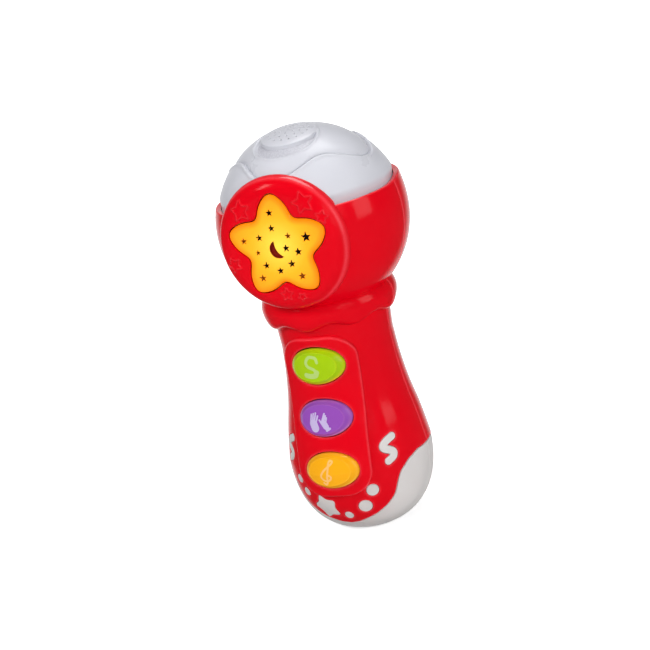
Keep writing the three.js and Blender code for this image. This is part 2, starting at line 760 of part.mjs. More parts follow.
// One push button: crown, flange that follows the inside of the panel, and stem
function button({ height }) {
  const grown = (across, up) => solid(atButton(prism(oval(buttonHalfWidth + across, buttonHalfHeight + up,
    buttonSides), -buttonDepth, boardDepth), height));
  const plug = grown(0, 0);
  const flange = grown(buttonFlangeWidth, buttonFlangeHeight);
  const hollow = innerSkin(wall + gap + buttonFlangeThick);
  const crown = plug.intersect(handleSkin(-panelRaise - buttonCrown)).subtract(hollow);
  const lip = flange.intersect(innerSkin(wall + gap)).subtract(hollow);
  const stemEnd = (buttonOrigin(height).sub(boardOrigin)).dot(outward) - keypadThick - keypadDome
    - buttonTravel - gap;
  const stem = solid(atButton(disc(buttonStemRadius, wall, stemEnd, smallSides).rotateX(-Math.PI / 2), height));
  return joined(crown, lip, stem);
}

function keypad() {
  const sheetTop = boardHalfHeight - boardScrewHead * 2 - gap * 4;
  const sheet = solid(atBoard(block(-keypadHalfWidth, keypadHalfWidth, -gap - keypadThick, -gap,
    -boardHalfHeight + keypadHalfWidth / 2, sheetTop)));
  const domes = buttons.map(({ height }) => {
    const up = buttonOrigin(height).sub(boardOrigin).dot(new THREE.Vector3(0, Math.sin(buttonTilt),
      Math.cos(buttonTilt)));
    const top = keypadThick + keypadDome;
    const outline = [[0, 0], [keypadDomeRadius, 0], [keypadDomeRadius * keypadTopShare, top], [0, top]];
    return solid(atBoard(turned(outline, smallSides).rotateX(Math.PI / 2).translate(0, -gap, up)));
  });
  return joined(sheet, ...domes);
}

function mainBoard() {
  const plate = solid(atBoard(block(-boardHalfWidth, boardHalfWidth, 0, boardThick,
    -boardHalfHeight, boardHalfHeight)));
  return plate.subtract(boardScrewHoles);
}

function boardScrew([x, up]) {
  const head = solid(disc(boardScrewHead, 0, boardThick, smallSides));
  const shaft = solid(disc(boardScrewShaft, -boardScrewLength, overlapStep, tinySides));
  return atBoard(meshOf(joined(head, shaft)).rotateX(-Math.PI / 2).translate(x, boardThick + gap, up));
}

// Star light, turned about the Y axis through the star's centre
const atStar = (geometry) => geometry.rotateX(Math.PI / 2).translate(0, 0, starHeight);

function bezel() {
  const bite = bezelRound * (1 - Math.SQRT1_2);
  const blank = solid(atStar(turned([[0, bezelSink], [bezelRadius, bezelSink],
    [bezelRadius, bezelFront - bezelRound], [bezelRadius - bite, bezelFront - bite],
    [bezelRadius - bezelRound, bezelFront], [0, bezelFront]], skinSides)));
  const room = ballRadius + gap;
  const ballOutline = ballPoints(room, ballHeight - room, ballHeight + room, ballSteps);
  const ballRoom = solid(turned(ballOutline, skinSides));
  const plate = solid(atStar(disc(lightTubeRadius, bezelFront - bezelThick, bezelFront, skinSides)));
  const tube = solid(atStar(ring(lightTubeRadius, lightTubeRadius - lightTubeWall, bezelSink,
    bezelFront - bezelThick + overlapStep, skinSides)));
  const wallInside = Math.sqrt((ballRadius - cupWall) ** 2 - (lightTubeRadius + bezelLug) ** 2
    - (starHeight - ballHeight) ** 2);
  const lug = block(-(lightTubeWall + bezelLug) / 2, (lightTubeWall + bezelLug) / 2, -wallInside + gap * 2,
    -bezelSink, starHeight - bezelLug * 2, starHeight + bezelLug * 2);
  const lugMiddle = lightTubeRadius + (bezelLug - lightTubeWall) / 2;
  const lugs = [-1, 1].map((side) => solid(lug.clone().translate(side * lugMiddle, 0, 0)));
  const star = solid(prism(roundStar(starTip + gap, starNotch + gap, starRound), -overrun, -bezelSink)
    .translate(0, 0, starHeight));
  const bore = solid(atStar(disc(lightTubeRadius - lightTubeWall, 0, overrun, skinSides)));
  return cut(joined(cut(blank, ballRoom, bore), plate, tube, ...lugs, ...lightStakes(stakeRadius)), star);
}

// Small star windows of the lens about its centre: x, z and tip radius as shares of the big star's tip
const windowShares = [
  [-0.091, 0.631, 0.072], [-0.113, 0.346, 0.069], [-0.39, 0.189, 0.067], [0.182, 0.181, 0.062],
  [0.528, 0.133, 0.1], [-0.705, 0.152, 0.064], [0.095, -0.04, 0.072], [0.319, -0.124, 0.076],
  [-0.47, -0.082, 0.053], [0.144, -0.339, 0.075], [-0.356, -0.333, 0.067], [-0.104, -0.448, 0.069],
  [-0.48, -0.561, 0.069], [0.3, -0.577, 0.076],
];
const windowNotchShare = 0.45;
const moonCentreShares = [-0.06, -0.05];
const moonTurn = Math.PI * 1.14;
const moonReach = Math.PI * 0.52;
const moonBowShare = 0.3;
const moonSteps = 6;

// A crescent: an arc and, inside it, a shallower bow between the same ends
function moonShape() {
  const points = [];
  for (let i = 0; i <= moonSteps; i += 1) {
    const turn = moonTurn + moonReach * (2 * i / moonSteps - 1);
    points.push(new THREE.Vector2(moonRadius * Math.cos(turn), moonRadius * Math.sin(turn)));
  }
  const bulge = new THREE.Vector2(Math.cos(moonTurn), Math.sin(moonTurn));
  for (let i = moonSteps - 1; i > 0; i -= 1) {
    const chord = points[0].clone().lerp(points[moonSteps], i / moonSteps);
    points.push(chord.addScaledVector(bulge, moonRadius * moonBowShare * Math.sin(Math.PI * i / moonSteps)));
  }
  return new THREE.Shape(points);
}

function lens() {
  const back = bezelFront - bezelThick;
  const plug = solid(prism(roundStar(starTip, starNotch, starRound), -lensFront, -back + gap)
    .translate(0, 0, starHeight));
  const flangeRadius = lightTubeRadius - lightTubeWall - gap;
  const flange = solid(atStar(disc(flangeRadius, back - gap - lensFlange, back - gap, innerSides)));
  const windows = windowShares.map((shares) => {
    const [x, z, tip] = shares.map((share) => share * starTip);
    return solid(prism(smallStar(x, starHeight + z, tip, tip * windowNotchShare), -overrun, -bezelSink));
  });
  const [moonX, moonZ] = moonCentreShares.map((share) => share * starTip);
  const moon = solid(prism(moonShape(), -overrun, -bezelSink).translate(moonX, 0, starHeight + moonZ));
  return cut(joined(plug, flange), ...windows, moon);
}

function reflector() {
  const high = bezelFront - bezelThick - gap * 2 - lensFlange;
  const low = bezelSink + gap;
  const outerRadius = lightTubeRadius - lightTubeWall - gap;
  const mouth = diodeRadius + gap + postWall;
  return turned([[mouth, low], [outerRadius, low], [outerRadius, high], [outerRadius - postWall, high],
    [outerRadius - postWall, low + wall], [mouth + postWall, low + postWall], [mouth, low + postWall],
    [mouth, low]], innerSides);
}

function lightBoard() {
  const high = bezelSink - gap;
  const plate = solid(atStar(disc(lightTubeRadius, high - boardThick, high, innerSides)));
  return cut(plate, ...lightStakes(stakeRadius + gap));
}

// Two pegs of the bezel's tube that go through the light board and are pressed flat behind it
function lightStakes(radius) {
  const reach = lightTubeRadius - lightTubeWall / 2;
  return [-1, 1].map((side) => solid(atStar(disc(radius, bezelSink - gap * 2 - boardThick - radius,
    bezelSink + overlapStep, tinySides).translate(side * reach, 0, 0))));
}

function lightDiode() {
  const shoulder = bezelSink + diodeHeight;
  const slope = diodeRadius * Math.SQRT1_2;
  return turned([[0, bezelSink], [diodeRadius, bezelSink], [diodeRadius, shoulder],
    [slope, shoulder + slope], [0, shoulder + diodeRadius]], smallSides);
}

// Dome over the speaker, with the raised grille disc in its recess
function domeSkin(inset, steps) {
  const tucked = ballRadius - cupWall - gap;
  const points = [];
  const last = Math.acos((domeSkirt - ballHeight) / (tucked - inset));
  for (let i = 0; i <= steps; i += 1) {
    const turn = last * (1 - i / steps);
    const blend = THREE.MathUtils.smoothstep(turn, domeShoulder, domeTuck);
    const radius = domeRadius + (tucked - domeRadius) * blend - inset;
    points.push([i === steps ? 0 : radius * Math.sin(turn), ballHeight + radius * Math.cos(turn)]);
  }
  return points;
}

const atGrille = (geometry) => geometry.rotateX(grilleTilt).translate(0, 0, ballHeight);

function dome() {
  const skin = domeSkin(0, domeSteps);
  const hollow = domeSkin(domeWall, domeInnerSteps);
  const body = solid(turned([[0, domeSkirt], ...skin], skinSides));
  const roomLow = domeSkirt - wall;
  const room = solid(turned([[0, roomLow], [hollow[0][0], roomLow], ...hollow], skinSides));
  const recessFloor = Math.sqrt(domeRadius ** 2 - recessRadius ** 2) - recessDepth;
  const recess = solid(atGrille(ring(recessRadius, grilleRadius, recessFloor, overrun, innerSides)));
  const diskEdge = Math.sqrt(domeRadius ** 2 - grilleRadius ** 2) + grilleRise;
  const diskLow = recessFloor - domeWall / 2;
  const disk = solid(atGrille(turned([[0, diskLow], [grilleRadius, diskLow], [grilleRadius, diskEdge],
    [grilleRadius * grilleCrownShare, domeRadius], [0, domeRadius + grilleRise]], innerSides)));
  const seat = solid(atGrille(ring(speakerRadius + postWall, speakerRadius - wall / 2, speakerSeat + gap,
    domeRadius - domeWall / 2, innerSides)));
  const earRadius = postWall + boardScrewHead;
  const ear = disc(earRadius, speakerSeat - speakerFlange, domeRadius - domeWall / 2, smallSides);
  const ears = [-1, 1].map((side) => solid(atGrille(ear.clone().translate(side * clampReach, 0, 0))));
  const seatLimit = [[0, domeSkirt], ...domeSkin(domeWall - overlapStep, domeInnerSteps)];
  const inside = joined(seat, ...ears).intersect(solid(turned(seatLimit, skinSides)));
  const holes = grilleRings.flatMap(([radius, count]) => Array.from({ length: count }, (_, i) => {
    const turn = i / count * Math.PI * 2;
    return solid(atGrille(disc(grilleHole, speakerSeat + wall, overrun, tinySides)
      .translate(radius * Math.sin(turn), radius * Math.cos(turn), 0)));
  }));
  const pilots = [-1, 1].map((side) => solid(atGrille(disc(boardScrewShaft + gap, 0, speakerSeat + wall / 2,
    tinySides).translate(side * clampReach, 0, 0))));
  const notch = solid(disc(lightTubeRadius + gap, 0, overrun, skinSides).rotateX(Math.PI / 2)
    .translate(0, 0, starHeight));
  return cut(joined(cut(body, room, recess), disk, inside), notch, ...holes, ...pilots);
}

function speakerBasket() {
  const low = speakerSeat - speakerDepth;
  const flangeLow = speakerSeat - speakerFlange;
  const rim = speakerRadius - wall;
  return atGrille(turned([[0, low], [magnetRadius, low], [rim, flangeLow], [speakerRadius, flangeLow],
    [speakerRadius, speakerSeat], [rim, speakerSeat], [magnetRadius * basketFloorShare, low + wall],
    [0, low + wall]], innerSides));
}

function speakerCone() {
  const low = speakerSeat - speakerDepth + wall + gap;
  const rim = speakerRadius - wall - gap * 2;
  const floor = magnetRadius * coneFloorShare;
  return atGrille(turned([[0, low], [floor, low], [rim, speakerSeat - gap], [rim - postWall, speakerSeat],
    [floor, low + postWall], [0, low + wall]], innerSides));
}

function speakerMagnet() {
  const high = speakerSeat - speakerDepth - gap;
  return atGrille(disc(magnetRadius, high - magnetDepth, high, innerSides));
}

function speakerClamp() {
  const high = speakerSeat - speakerFlange - gap;
  const low = high - clampWall;
  const hoopRadius = speakerRadius + postWall;
  const hoop = solid(atGrille(ring(hoopRadius, speakerRadius - wall / 2, low, high, innerSides)));
  const ears = [-1, 1].map((side) => solid(atGrille(disc(postWall + boardScrewHead, low, high, smallSides)
    .translate(side * clampReach, 0, 0))));
  const holes = [-1, 1].map((side) => solid(atGrille(disc(boardScrewShaft + gap, 0, overrun, tinySides)
    .translate(side * clampReach, 0, 0))));
  const basketRoom = solid(atGrille(disc(speakerRadius - wall + gap, 0, overrun, innerSides)));
  return cut(joined(hoop, ...ears), ...holes, basketRoom);
}

function clampScrew(side) {
  const high = speakerSeat - speakerFlange - gap - clampWall - gap;
  const head = solid(disc(boardScrewHead, high - boardThick, high, smallSides));
  const shaft = solid(disc(boardScrewShaft, high - overlapStep, speakerSeat + gap, tinySides));
  return atGrille(meshOf(joined(head, shaft)).translate(side * clampReach, 0, 0));
}

// Cells, their contacts and springs
function cell(x, way) {
  const low = compartmentBottom + contactThick + gap * 2 + (way > 0 ? springRoom : cellNub);
  const outline = [[0, 0], [cellRadius, 0], [cellRadius, cellLength], [cellNubRadius, cellLength],
    [cellNubRadius, cellLength + cellNub], [0, cellLength + cellNub]];
  const geometry = turned(outline, innerSides);
  if (way < 0) geometry.rotateX(Math.PI).translate(0, 0, cellLength);
  return geometry.translate(x, cellDepth, low);
}

function contactPlate(x0, x1, high) {
  const z = high ? compartmentTop - gap - contactThick : compartmentBottom + gap;
  const half = cellRadius - gap;
  const plate = block(x0, x1, cellDepth - half, cellDepth + half, z, z + contactThick);
  if (high) return plate;
  return joined(solid(plate), contactTail((x0 + x1) / 2, 0));
}

// The tail of a contact, through the compartment's floor to where its wire is soldered
function contactTail(x, clearance) {
  const half = contactTailHalf + clearance;
  const low = compartmentBottom + gap - clearance;
  const high = low + contactThick + clearance * 2;
  return solid(block(x - half, x + half, contactBack - clearance, cellDepth, low, high));
}

class SpringLine extends THREE.Curve {
  constructor(radius, low, high, turns) {
    super();
    Object.assign(this, { radius, low, high, turns });
  }

  getPoint(share, target = new THREE.Vector3()) {
    const turn = share * this.turns * Math.PI * 2;
    const radius = this.radius * (1 - springTaperShare * share);
    const height = this.low + (this.high - this.low) * share;
    return target.set(radius * Math.cos(turn), radius * Math.sin(turn), height);
  }
}

function wireAlong(line, radius, steps, sides) {
  const section = oval(radius, radius, sides);
  return new THREE.ExtrudeGeometry(section, { steps, extrudePath: line, bevelEnabled: false });
}

// A coiled contact spring that tapers towards its cell
const springHeight = springRoom - springWireRadius * 2 - gap * 2;
const springLine = new SpringLine(springCoilRadius, 0, springHeight, springTurns);

function spring(x, high) {
  const geometry = wireAlong(springLine, springWireRadius, springTurns * curlSteps, curlSides);
  if (high) geometry.rotateX(Math.PI);
  const seat = contactThick + gap * 2 + springWireRadius;
  return geometry.translate(x, cellDepth, high ? compartmentTop - seat : compartmentBottom + seat);
}

// Least free space between one coil of the spring and the next, on points half a turn or more apart
function leastSpringGap() {
  const count = springTurns * curlSteps * 2;
  const points = springLine.getPoints(count);
  const spaces = points.flatMap((point, i) => points.slice(i + curlSteps)
    .map((other) => point.distanceTo(other)));
  return Math.min(...spaces) - springWireRadius * 2;
}

console.log(`least gap between coils of a contact spring: ${leastSpringGap().toFixed(2)} mm`);

// Power switch: a body between two ribs and a knob that slides across
function switchBody() {
  return block(-switchHalfWidth, switchHalfWidth, switchTop - switchThick, switchTop,
    switchHeight - switchHalfHeight + gap, switchHeight + switchHalfHeight - gap);
}

function switchKnob() {
  const high = Math.sqrt(ballRadius ** 2 - (switchHeight - ballHeight) ** 2) + knobProud;
  return block(-knobHalfWidth, knobHalfWidth, switchTop + gap, high, switchHeight - knobHalfHeight,
    switchHeight + knobHalfHeight);
}

// Wires, each from one terminal to the next along its clipped route
function wire(name, points, color) {
  const line = new THREE.CatmullRomCurve3(points.map((point) => new THREE.Vector3(...point)));
  const tube = solid(wireAlong(line, wireRadius, wireSteps, wireSides));
  add(name, tube, { color, roughness: 0.45, metalness: 0 });
}

// A solder place behind the main board: x, distance up from the board's middle, and height off its back
function boardPad(x, up, off) {
  const place = new THREE.Vector3(x, boardThick + gap + off, up);
  return place.applyAxisAngle(new THREE.Vector3(1, 0, 0), -buttonTilt).add(boardOrigin).toArray();
}

const lightBack = -bezelSink + gap + boardThick;
const switchBack = switchTop - switchThick;
const tailX = compartmentHalf / 2;
const tailHeight = compartmentBottom + gap + contactThick / 2;
const lightTerminalShare = 0.41;
const lightTerminal = ballHeight - ballRadius * lightTerminalShare;
// Each wire starts at its own terminal, follows places given as shares of the ball's radius about the
// ball's centre, and ends on the main board at shares of the board's half-sizes
const wireRoutes = [
  {
    name: 'speaker_wire',
    color: 0xc01818,
    starts: [],
    routeShares: [[0.077, 0.149, 0.628], [0.128, 0.308, 0.462], [0.141, 0.359, 0.205],
      [0.128, 0.308, -0.256], [0.103, 0.128, -0.667], [0.09, -0.077, -0.974]],
    padShares: [0.22, 0.875],
  },
  {
    name: 'light_wire',
    color: 0xe0c020,
    starts: [gap, wireBend].map((off) => [wireBend / 2, lightBack + off, lightTerminal]),
    routeShares: [[0.038, -0.359, -0.667], [0.038, -0.205, -0.923]],
    padShares: [0.11, 0.844],
  },
  {
    name: 'switch_wire',
    color: 0x202224,
    starts: [gap, wireBend].map((off) => [switchTerminal, switchBack - off, switchHeight]),
    routeShares: [[0.154, 0.41, -0.615], [0.179, 0.103, -0.872], [0.154, -0.103, -1.077]],
    padShares: [0.44, 0.75],
  },
  {
    name: 'battery_wire',
    color: 0x2040a0,
    starts: [gap + wireRadius, wireBend].map((off) => [tailX, contactBack - off, tailHeight]),
    routeShares: [],
    padShares: [tailX / boardHalfWidth, -0.375],
  },
];

add('front_shell', frontShell(), red);
add('rear_shell', rearShell(), red);
add('base_front', baseFront(), white);
add('base_rear', baseRear(), white);
add('dome', dome(), { ...white, color: 0xdedee6 });
add('star_bezel', bezel(), red);
add('star_lens', lens(), { color: 0xffc81e, roughness: 0.3, metalness: 0 });
add('light_reflector', atStar(reflector()), white);
add('light_board', lightBoard(), { color: 0x1e6b3a, roughness: 0.5, metalness: 0 });
add('light_diode', atStar(lightDiode()), { color: 0xf4f0d0, roughness: 0.2, metalness: 0 });
add('battery_door', batteryDoor(), red);
add('battery_door_screw', doorScrew(), steel);
add('switch_knob', switchKnob(), dark);
add('switch_body', switchBody(), steel);
for (const item of buttons) {
  add(item.name, button(item), { color: item.colour, roughness: 0.3, metalness: 0 });
}
add('keypad', keypad(), { color: 0x9aa0a4, roughness: 0.8, metalness: 0 });
add('main_board', mainBoard(), { color: 0x1e6b3a, roughness: 0.5, metalness: 0 });
boardScrews.forEach((place, i) => add(`board_screw_${i + 1}`, boardScrew(place), steel));
add('speaker_basket', speakerBasket(), steel);
add('speaker_cone', speakerCone(), dark);
add('speaker_magnet', speakerMagnet(), steel);
add('speaker_clamp', speakerClamp(), white);
add('clamp_screw_1', clampScrew(-1), steel);
add('clamp_screw_2', clampScrew(1), steel);
shellScrews.forEach(([x, height], i) => {
  shellScrew(`shell_screw_${i * 2 + 1}`, -x, height);
  shellScrew(`shell_screw_${i * 2 + 2}`, x, height);
});
add('cell_1', cell(-cellX, 1), { color: 0xc08030, roughness: 0.35, metalness: 0.6 });
add('cell_2', cell(cellX, -1), { color: 0xc08030, roughness: 0.35, metalness: 0.6 });
add('contact_plate_1', contactPlate(-compartmentHalf + gap, -gap, false), steel);
add('contact_plate_2', contactPlate(gap, compartmentHalf - gap, false), steel);
add('contact_bridge', contactPlate(-compartmentHalf + gap, compartmentHalf - gap, true), steel);
add('contact_spring_1', spring(-cellX, false), steel);
add('contact_spring_2', spring(cellX, true), steel);

for (const { name, color, starts, routeShares, padShares } of wireRoutes) {
  const middles = routeShares.map(([x, y, z]) => [ballRadius * x, ballRadius * y, ballHeight + ballRadius * z]);
  const [padX, padUp] = [boardHalfWidth * padShares[0], boardHalfHeight * padShares[1]];
  for (const side of [-1, 1]) {
    const mirrored = [...starts, ...middles].map(([x, y, z]) => [side * x, y, z]);
    const route = [...mirrored, boardPad(side * padX, padUp, wall), boardPad(side * padX, padUp, 0)];
    wire(`${name}_${side < 0 ? 1 : 2}`, route, color);
  }
}

export default microphone;
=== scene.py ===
# %% [markdown]
# # A toy microphone
# A white speaker dome sits in a red cup, with a lit star in front. Below it are a lobed collar, a waisted red
# grip with three push buttons, and a white rounded base whose shapes come through the red front.
# Everything is built from formulas on whole arrays, in millimetres, in the frame that the CAD model gives.

# %% Load the frame
import bpy
import numpy as np
from mathutils import Matrix, Vector


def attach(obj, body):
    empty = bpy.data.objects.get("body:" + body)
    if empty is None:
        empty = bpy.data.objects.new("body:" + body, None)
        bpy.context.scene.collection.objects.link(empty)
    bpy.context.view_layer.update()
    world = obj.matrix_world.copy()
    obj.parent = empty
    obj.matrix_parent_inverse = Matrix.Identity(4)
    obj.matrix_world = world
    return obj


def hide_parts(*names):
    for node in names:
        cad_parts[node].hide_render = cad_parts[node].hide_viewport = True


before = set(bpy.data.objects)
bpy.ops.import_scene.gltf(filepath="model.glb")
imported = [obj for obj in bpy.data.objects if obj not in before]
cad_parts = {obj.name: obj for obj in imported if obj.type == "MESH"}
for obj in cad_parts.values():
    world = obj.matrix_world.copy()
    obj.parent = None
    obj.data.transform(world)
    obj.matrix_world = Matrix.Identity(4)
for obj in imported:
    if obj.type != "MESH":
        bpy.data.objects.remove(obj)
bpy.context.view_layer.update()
for name in ("Cube", "Light", "Camera"):
    if name in bpy.data.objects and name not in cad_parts:
        bpy.data.objects.remove(bpy.data.objects[name])

# %% [markdown]
# ## Sizes
# The values repeat the CAD model's, so that each visible piece lies on its solid. A few were measured again in the
# photograph afterwards, such as FACE_FRONT, FACE_SHIFT, DOME_TUCKED and GRILLE_RADIUS.

# %% Sizes in millimetres
MM = 0.001
TAU = 2 * np.pi
GAP, WALL, PARTING = 0.3, 2.2, 1.0
BELLY_RADIUS, BELLY_HEIGHT, BASE_DEPTH, BASE_POWER = 29.65, 32.0, 34.0, 2.4
WAIST_RADIUS, WAIST_HEIGHT, NECK_HEIGHT = 23.0, 80.0, 101.0
BALL_RADIUS, BALL_HEIGHT, RIM_HEIGHT = 39.0, 129.997, 141.397
LOBES, LOBE_DIP = 8, 1.0
PANEL_HALF, PANEL_BOTTOM, PANEL_TOP, PANEL_CORNER, PANEL_RAISE = 15.5, 21.2, 87.0, 10.5, 1.7
BUTTON_TILT = np.radians(8.8)
BUTTON_HEIGHTS = {"button_green": 75.30, "button_purple": 54.10, "button_orange": 32.90}
BUTTON_HALF_WIDTH, BUTTON_HALF_HEIGHT, BUTTON_GAP, BUTTON_CROWN = 11.5, 7.5, 0.35, 2.6
STAR_HEIGHT, STAR_TIP = 128.397, 21.8
FACE_FRONT, FACE_SHIFT = 34.1, (-0.23, -0.41)
BEZEL_RADIUS, BEZEL_FRONT, BEZEL_ROUND, BEZEL_THICK, BEZEL_SINK = 27.4, 32.65, 4.2, 2.4, 23.0
TUBE_RADIUS = 24.0
DOME_RADIUS, DOME_TUCKED, DOME_WALL, DOME_SKIRT = 38.0, 36.5, 2.0, 132.997
GRILLE_TILT, GRILLE_RADIUS, RECESS_REACH = np.radians(9), 11.6, 13.3
print("cup", 2 * BALL_RADIUS, "mm across, waist", 2 * WAIST_RADIUS, "mm across")

# %% [markdown]
# ## Sheets
# A moulded toy is made of thin walls, so each piece starts as a flat sheet of triangles in two parameters. It is
# cut along lines of equal distance from its borders, which puts real edges exactly where a hole or a seam runs.
# The sheet is then laid twice on the real surface, as the outer and the inner face of the wall.

# %% Flat sheets of triangles
def grid_sheet(us, vs):
    """Points (u, v) of a rectangular grid, and its triangles (a, b, c) and (a, c, d), counterclockwise."""
    u, v = np.meshgrid(us, vs, indexing="ij")
    i = np.arange(u.size).reshape(u.shape)
    a, b, c, d = (k.ravel() for k in (i[:-1, :-1], i[1:, :-1], i[1:, 1:], i[:-1, 1:]))
    tris = np.concatenate([np.stack([a, b, c], 1), np.stack([a, c, d], 1)])
    return np.stack([u.ravel(), v.ravel()], 1), tris


def polar(places):
    """Turn from the front and distance from the centre of points on a disc sheet."""
    return np.arctan2(places[:, 0], -places[:, 1]), np.hypot(places[:, 0], places[:, 1])


def disc_sheet(runs, steps):
    """Rings (run sin t, -run cos t) about one centre point, closed all the way round."""
    turns = np.arange(steps) / steps * TAU
    ring = np.stack([np.sin(turns), -np.cos(turns)], 1)
    places = np.concatenate([np.zeros((1, 2)), (np.asarray(runs)[:, None, None] * ring).reshape(-1, 2)])
    i = 1 + np.arange(len(runs) * steps).reshape(len(runs), steps)
    j = np.roll(i, -1, axis=1)
    fan = np.stack([np.zeros(steps, int), i[0], j[0]], 1)
    a, b, c, d = (k.ravel() for k in (i[:-1], i[1:], j[1:], j[:-1]))
    return places, np.concatenate([fan, np.stack([a, b, c], 1), np.stack([a, c, d], 1)])


print("a grid of 3 by 3 points has", len(grid_sheet(range(3), range(3))[1]), "triangles")

# %% [markdown]
# ### Cutting a sheet
# A boolean could cut the holes, but it leaves slivers. Here each triangle that a line crosses is divided at the
# line, so the cut is an exact row of edges and the shading beside it stays clean.

# %% Cutting a sheet along lines
def split_along(places, tris, distance, level, snap=0.03):
    """The line distance = level becomes mesh edges: a crossed edge p-q gets the point p + (q - p) s/(s - s')."""
    s = distance(places) - level
    s = np.where(np.abs(s) < snap, 0, s)
    side = np.sign(s)
    ends = np.roll(tris, -1, axis=1)
    crossed = side[tris] * side[ends] < 0
    if not crossed.any():
        return places, tris
    pairs = np.sort(np.stack([tris, ends], -1), -1)[crossed]
    keys, back = np.unique(pairs, axis=0, return_inverse=True)
    share = s[keys[:, 0]] / (s[keys[:, 0]] - s[keys[:, 1]])
    new = places[keys[:, 0]] + share[:, None] * (places[keys[:, 1]] - places[keys[:, 0]])
    middle = np.full(tris.shape, -1)
    middle[crossed] = len(places) + back.ravel()
    count = crossed.sum(1)
    one = np.nonzero(count == 1)[0]
    k = crossed[one].argmax(1)
    a, b, c = (tris[one, (k + i) % 3] for i in range(3))
    m = middle[one, k]
    parts = [tris[count == 0], np.stack([a, m, c], 1), np.stack([m, b, c], 1)]
    two = np.nonzero(count == 2)[0]
    k = (crossed[two] & np.roll(crossed[two], 1, axis=1)).argmax(1)
    a, b, c = (tris[two, (k + i) % 3] for i in range(3))
    m, n = middle[two, k], middle[two, (k + 2) % 3]
    parts += [np.stack([a, m, n], 1), np.stack([m, b, c], 1), np.stack([m, c, n], 1)]
    return np.concatenate([places, new]), np.concatenate(parts)


def split_levels(places, tris, distance, levels, snap=0.03):
    """Splits along distance = level for each level in turn."""
    for level in levels:
        places, tris = split_along(places, tris, distance, level, snap)
    return places, tris


LIP_LEVELS = np.array([1.0, 0.5, 0.15, 0.0])


def carve(places, tris, borders):
    """Cuts along every border (distance, lip radius) and keeps where all the distances are positive."""
    for distance, lip in borders:
        places, tris = split_levels(places, tris, distance, LIP_LEVELS * lip)
    middle = places[tris].mean(1)
    keep = np.all([distance(middle) > 0 for distance, lip in borders], axis=0)
    used, tris = np.unique(tris[keep], return_inverse=True)
    return places[used], tris.reshape(-1, 3)


print("each lip is cut in", len(LIP_LEVELS), "steps")

# %% [markdown]
# ### From a sheet to a wall
# Moulded edges are never quite sharp, so the outer face sinks a little along every border. The two faces are then
# joined into one closed wall, as a Solidify modifier would do it, but with the inner face wherever it is wanted.

# %% Walls with rounded lips
def lip_depth(places, borders):
    """Depth of the rounded lips, the greatest of r - sqrt(r^2 - (r - d)^2) over the borders."""
    depth = np.zeros(len(places))
    for distance, lip in borders:
        short = np.clip(lip - distance(places), 0, lip)
        depth = np.maximum(depth, lip - np.sqrt(lip ** 2 - short ** 2))
    return depth


def nearest(places, borders):
    """Distance to the nearest border, for the rubbed and painted-highlight edges."""
    return np.min([distance(places) for distance, lip in borders], axis=0)


def closed_wall(outer, inner, tris):
    """Outer face, inner face turned over, and a strip (b, a, a'), (b, a', b') along every open edge a-b."""
    across = np.cross(outer[tris[:, 1]] - outer[tris[:, 0]], outer[tris[:, 2]] - outer[tris[:, 0]])
    if (across * (outer - inner)[tris[:, 0]]).sum() < 0:
        tris = tris[:, ::-1]
    count = len(outer)
    edges = np.concatenate([tris[:, [0, 1]], tris[:, [1, 2]], tris[:, [2, 0]]])
    key = np.sort(edges, 1) @ np.array([count, 1])
    _, first, times = np.unique(key, return_index=True, return_counts=True)
    a, b = edges[first[times == 1]].T
    strip = [np.stack([b, a, a + count], 1), np.stack([b, a + count, b + count], 1)]
    return np.concatenate([outer, inner]), np.concatenate([tris, tris[:, ::-1] + count] + strip)


# The edge mask stands for rubbing, and on the red plastic and the buttons for a painted highlight as well.
def wear_and_sheen_of(places, borders, reach=1.2):
    """1 at an edge, falling to 0 at the given distance."""
    return np.clip(1 - nearest(places, borders) / reach, 0, 1)


def wall_part(outer, inner, tris, wear_and_sheen):
    """A closed wall as a part for add_piece: points, triangles, first material, and the edge mask for rubbing and
    painted highlight on both faces.
    """
    return *closed_wall(outer, inner, tris), 0, np.tile(wear_and_sheen, 2)


square, square_tris = grid_sheet([0, 1], [0, 1])
square = np.pad(square, ((0, 0), (0, 1)))
print("a square plate has", len(closed_wall(square, square - [0, 0, 1], square_tris)[1]), "triangles")

# %% [markdown]
# ## Outlines
# Stars, moons and squiggles are drawn as closed outlines, and a formula gives every point's distance from them.
# Curve objects could draw them too, but a distance can also round an edge or raise a line beside it.

# %% Distances from drawn lines
def outline_distance(points, outline, far=6.0):
    """Distance from a closed outline, positive inside: least |p - (a + t(b - a))|, signed by crossings."""
    low, high = outline.min(0) - far, outline.max(0) + far
    near = np.all((points > low) & (points < high), axis=1)
    result = np.full(len(points), -far)
    p = points[near][:, None]
    a, b = outline[None], np.roll(outline, -1, axis=0)[None]
    along = b - a
    t = np.clip(((p - a) * along).sum(-1) / (along ** 2).sum(-1), 0, 1)
    gap = np.sqrt((((p - a) - t[..., None] * along) ** 2).sum(-1)).min(1)
    over = (a[..., 1] > p[..., 1]) != (b[..., 1] > p[..., 1])
    rise = np.where(along[..., 1] == 0, 1, along[..., 1])
    left = p[..., 0] < a[..., 0] + (p[..., 1] - a[..., 1]) * along[..., 0] / rise
    inside = (over & left).sum(1) % 2 == 1
    result[near] = np.where(inside, gap, -gap)
    return result


def outline_border(outline):
    """Distance inside one small outline, as a function of places."""
    return lambda places: outline_distance(places, outline, 2.0)


def stroke_distance(points, line, half):
    """Distance from a stroke of a given half-width about a line, positive inside."""
    p, a, b = points[:, None], line[None, :-1], line[None, 1:]
    along = b - a
    t = np.clip(((p - a) * along).sum(-1) / (along ** 2).sum(-1), 0, 1)
    return half - np.sqrt((((p - a) - t[..., None] * along) ** 2).sum(-1)).min(1)


print("centre of a stroke:", stroke_distance(np.zeros((1, 2)), np.array([[-1.0, 0], [1, 0]]), 0.5)[0], "mm inside")

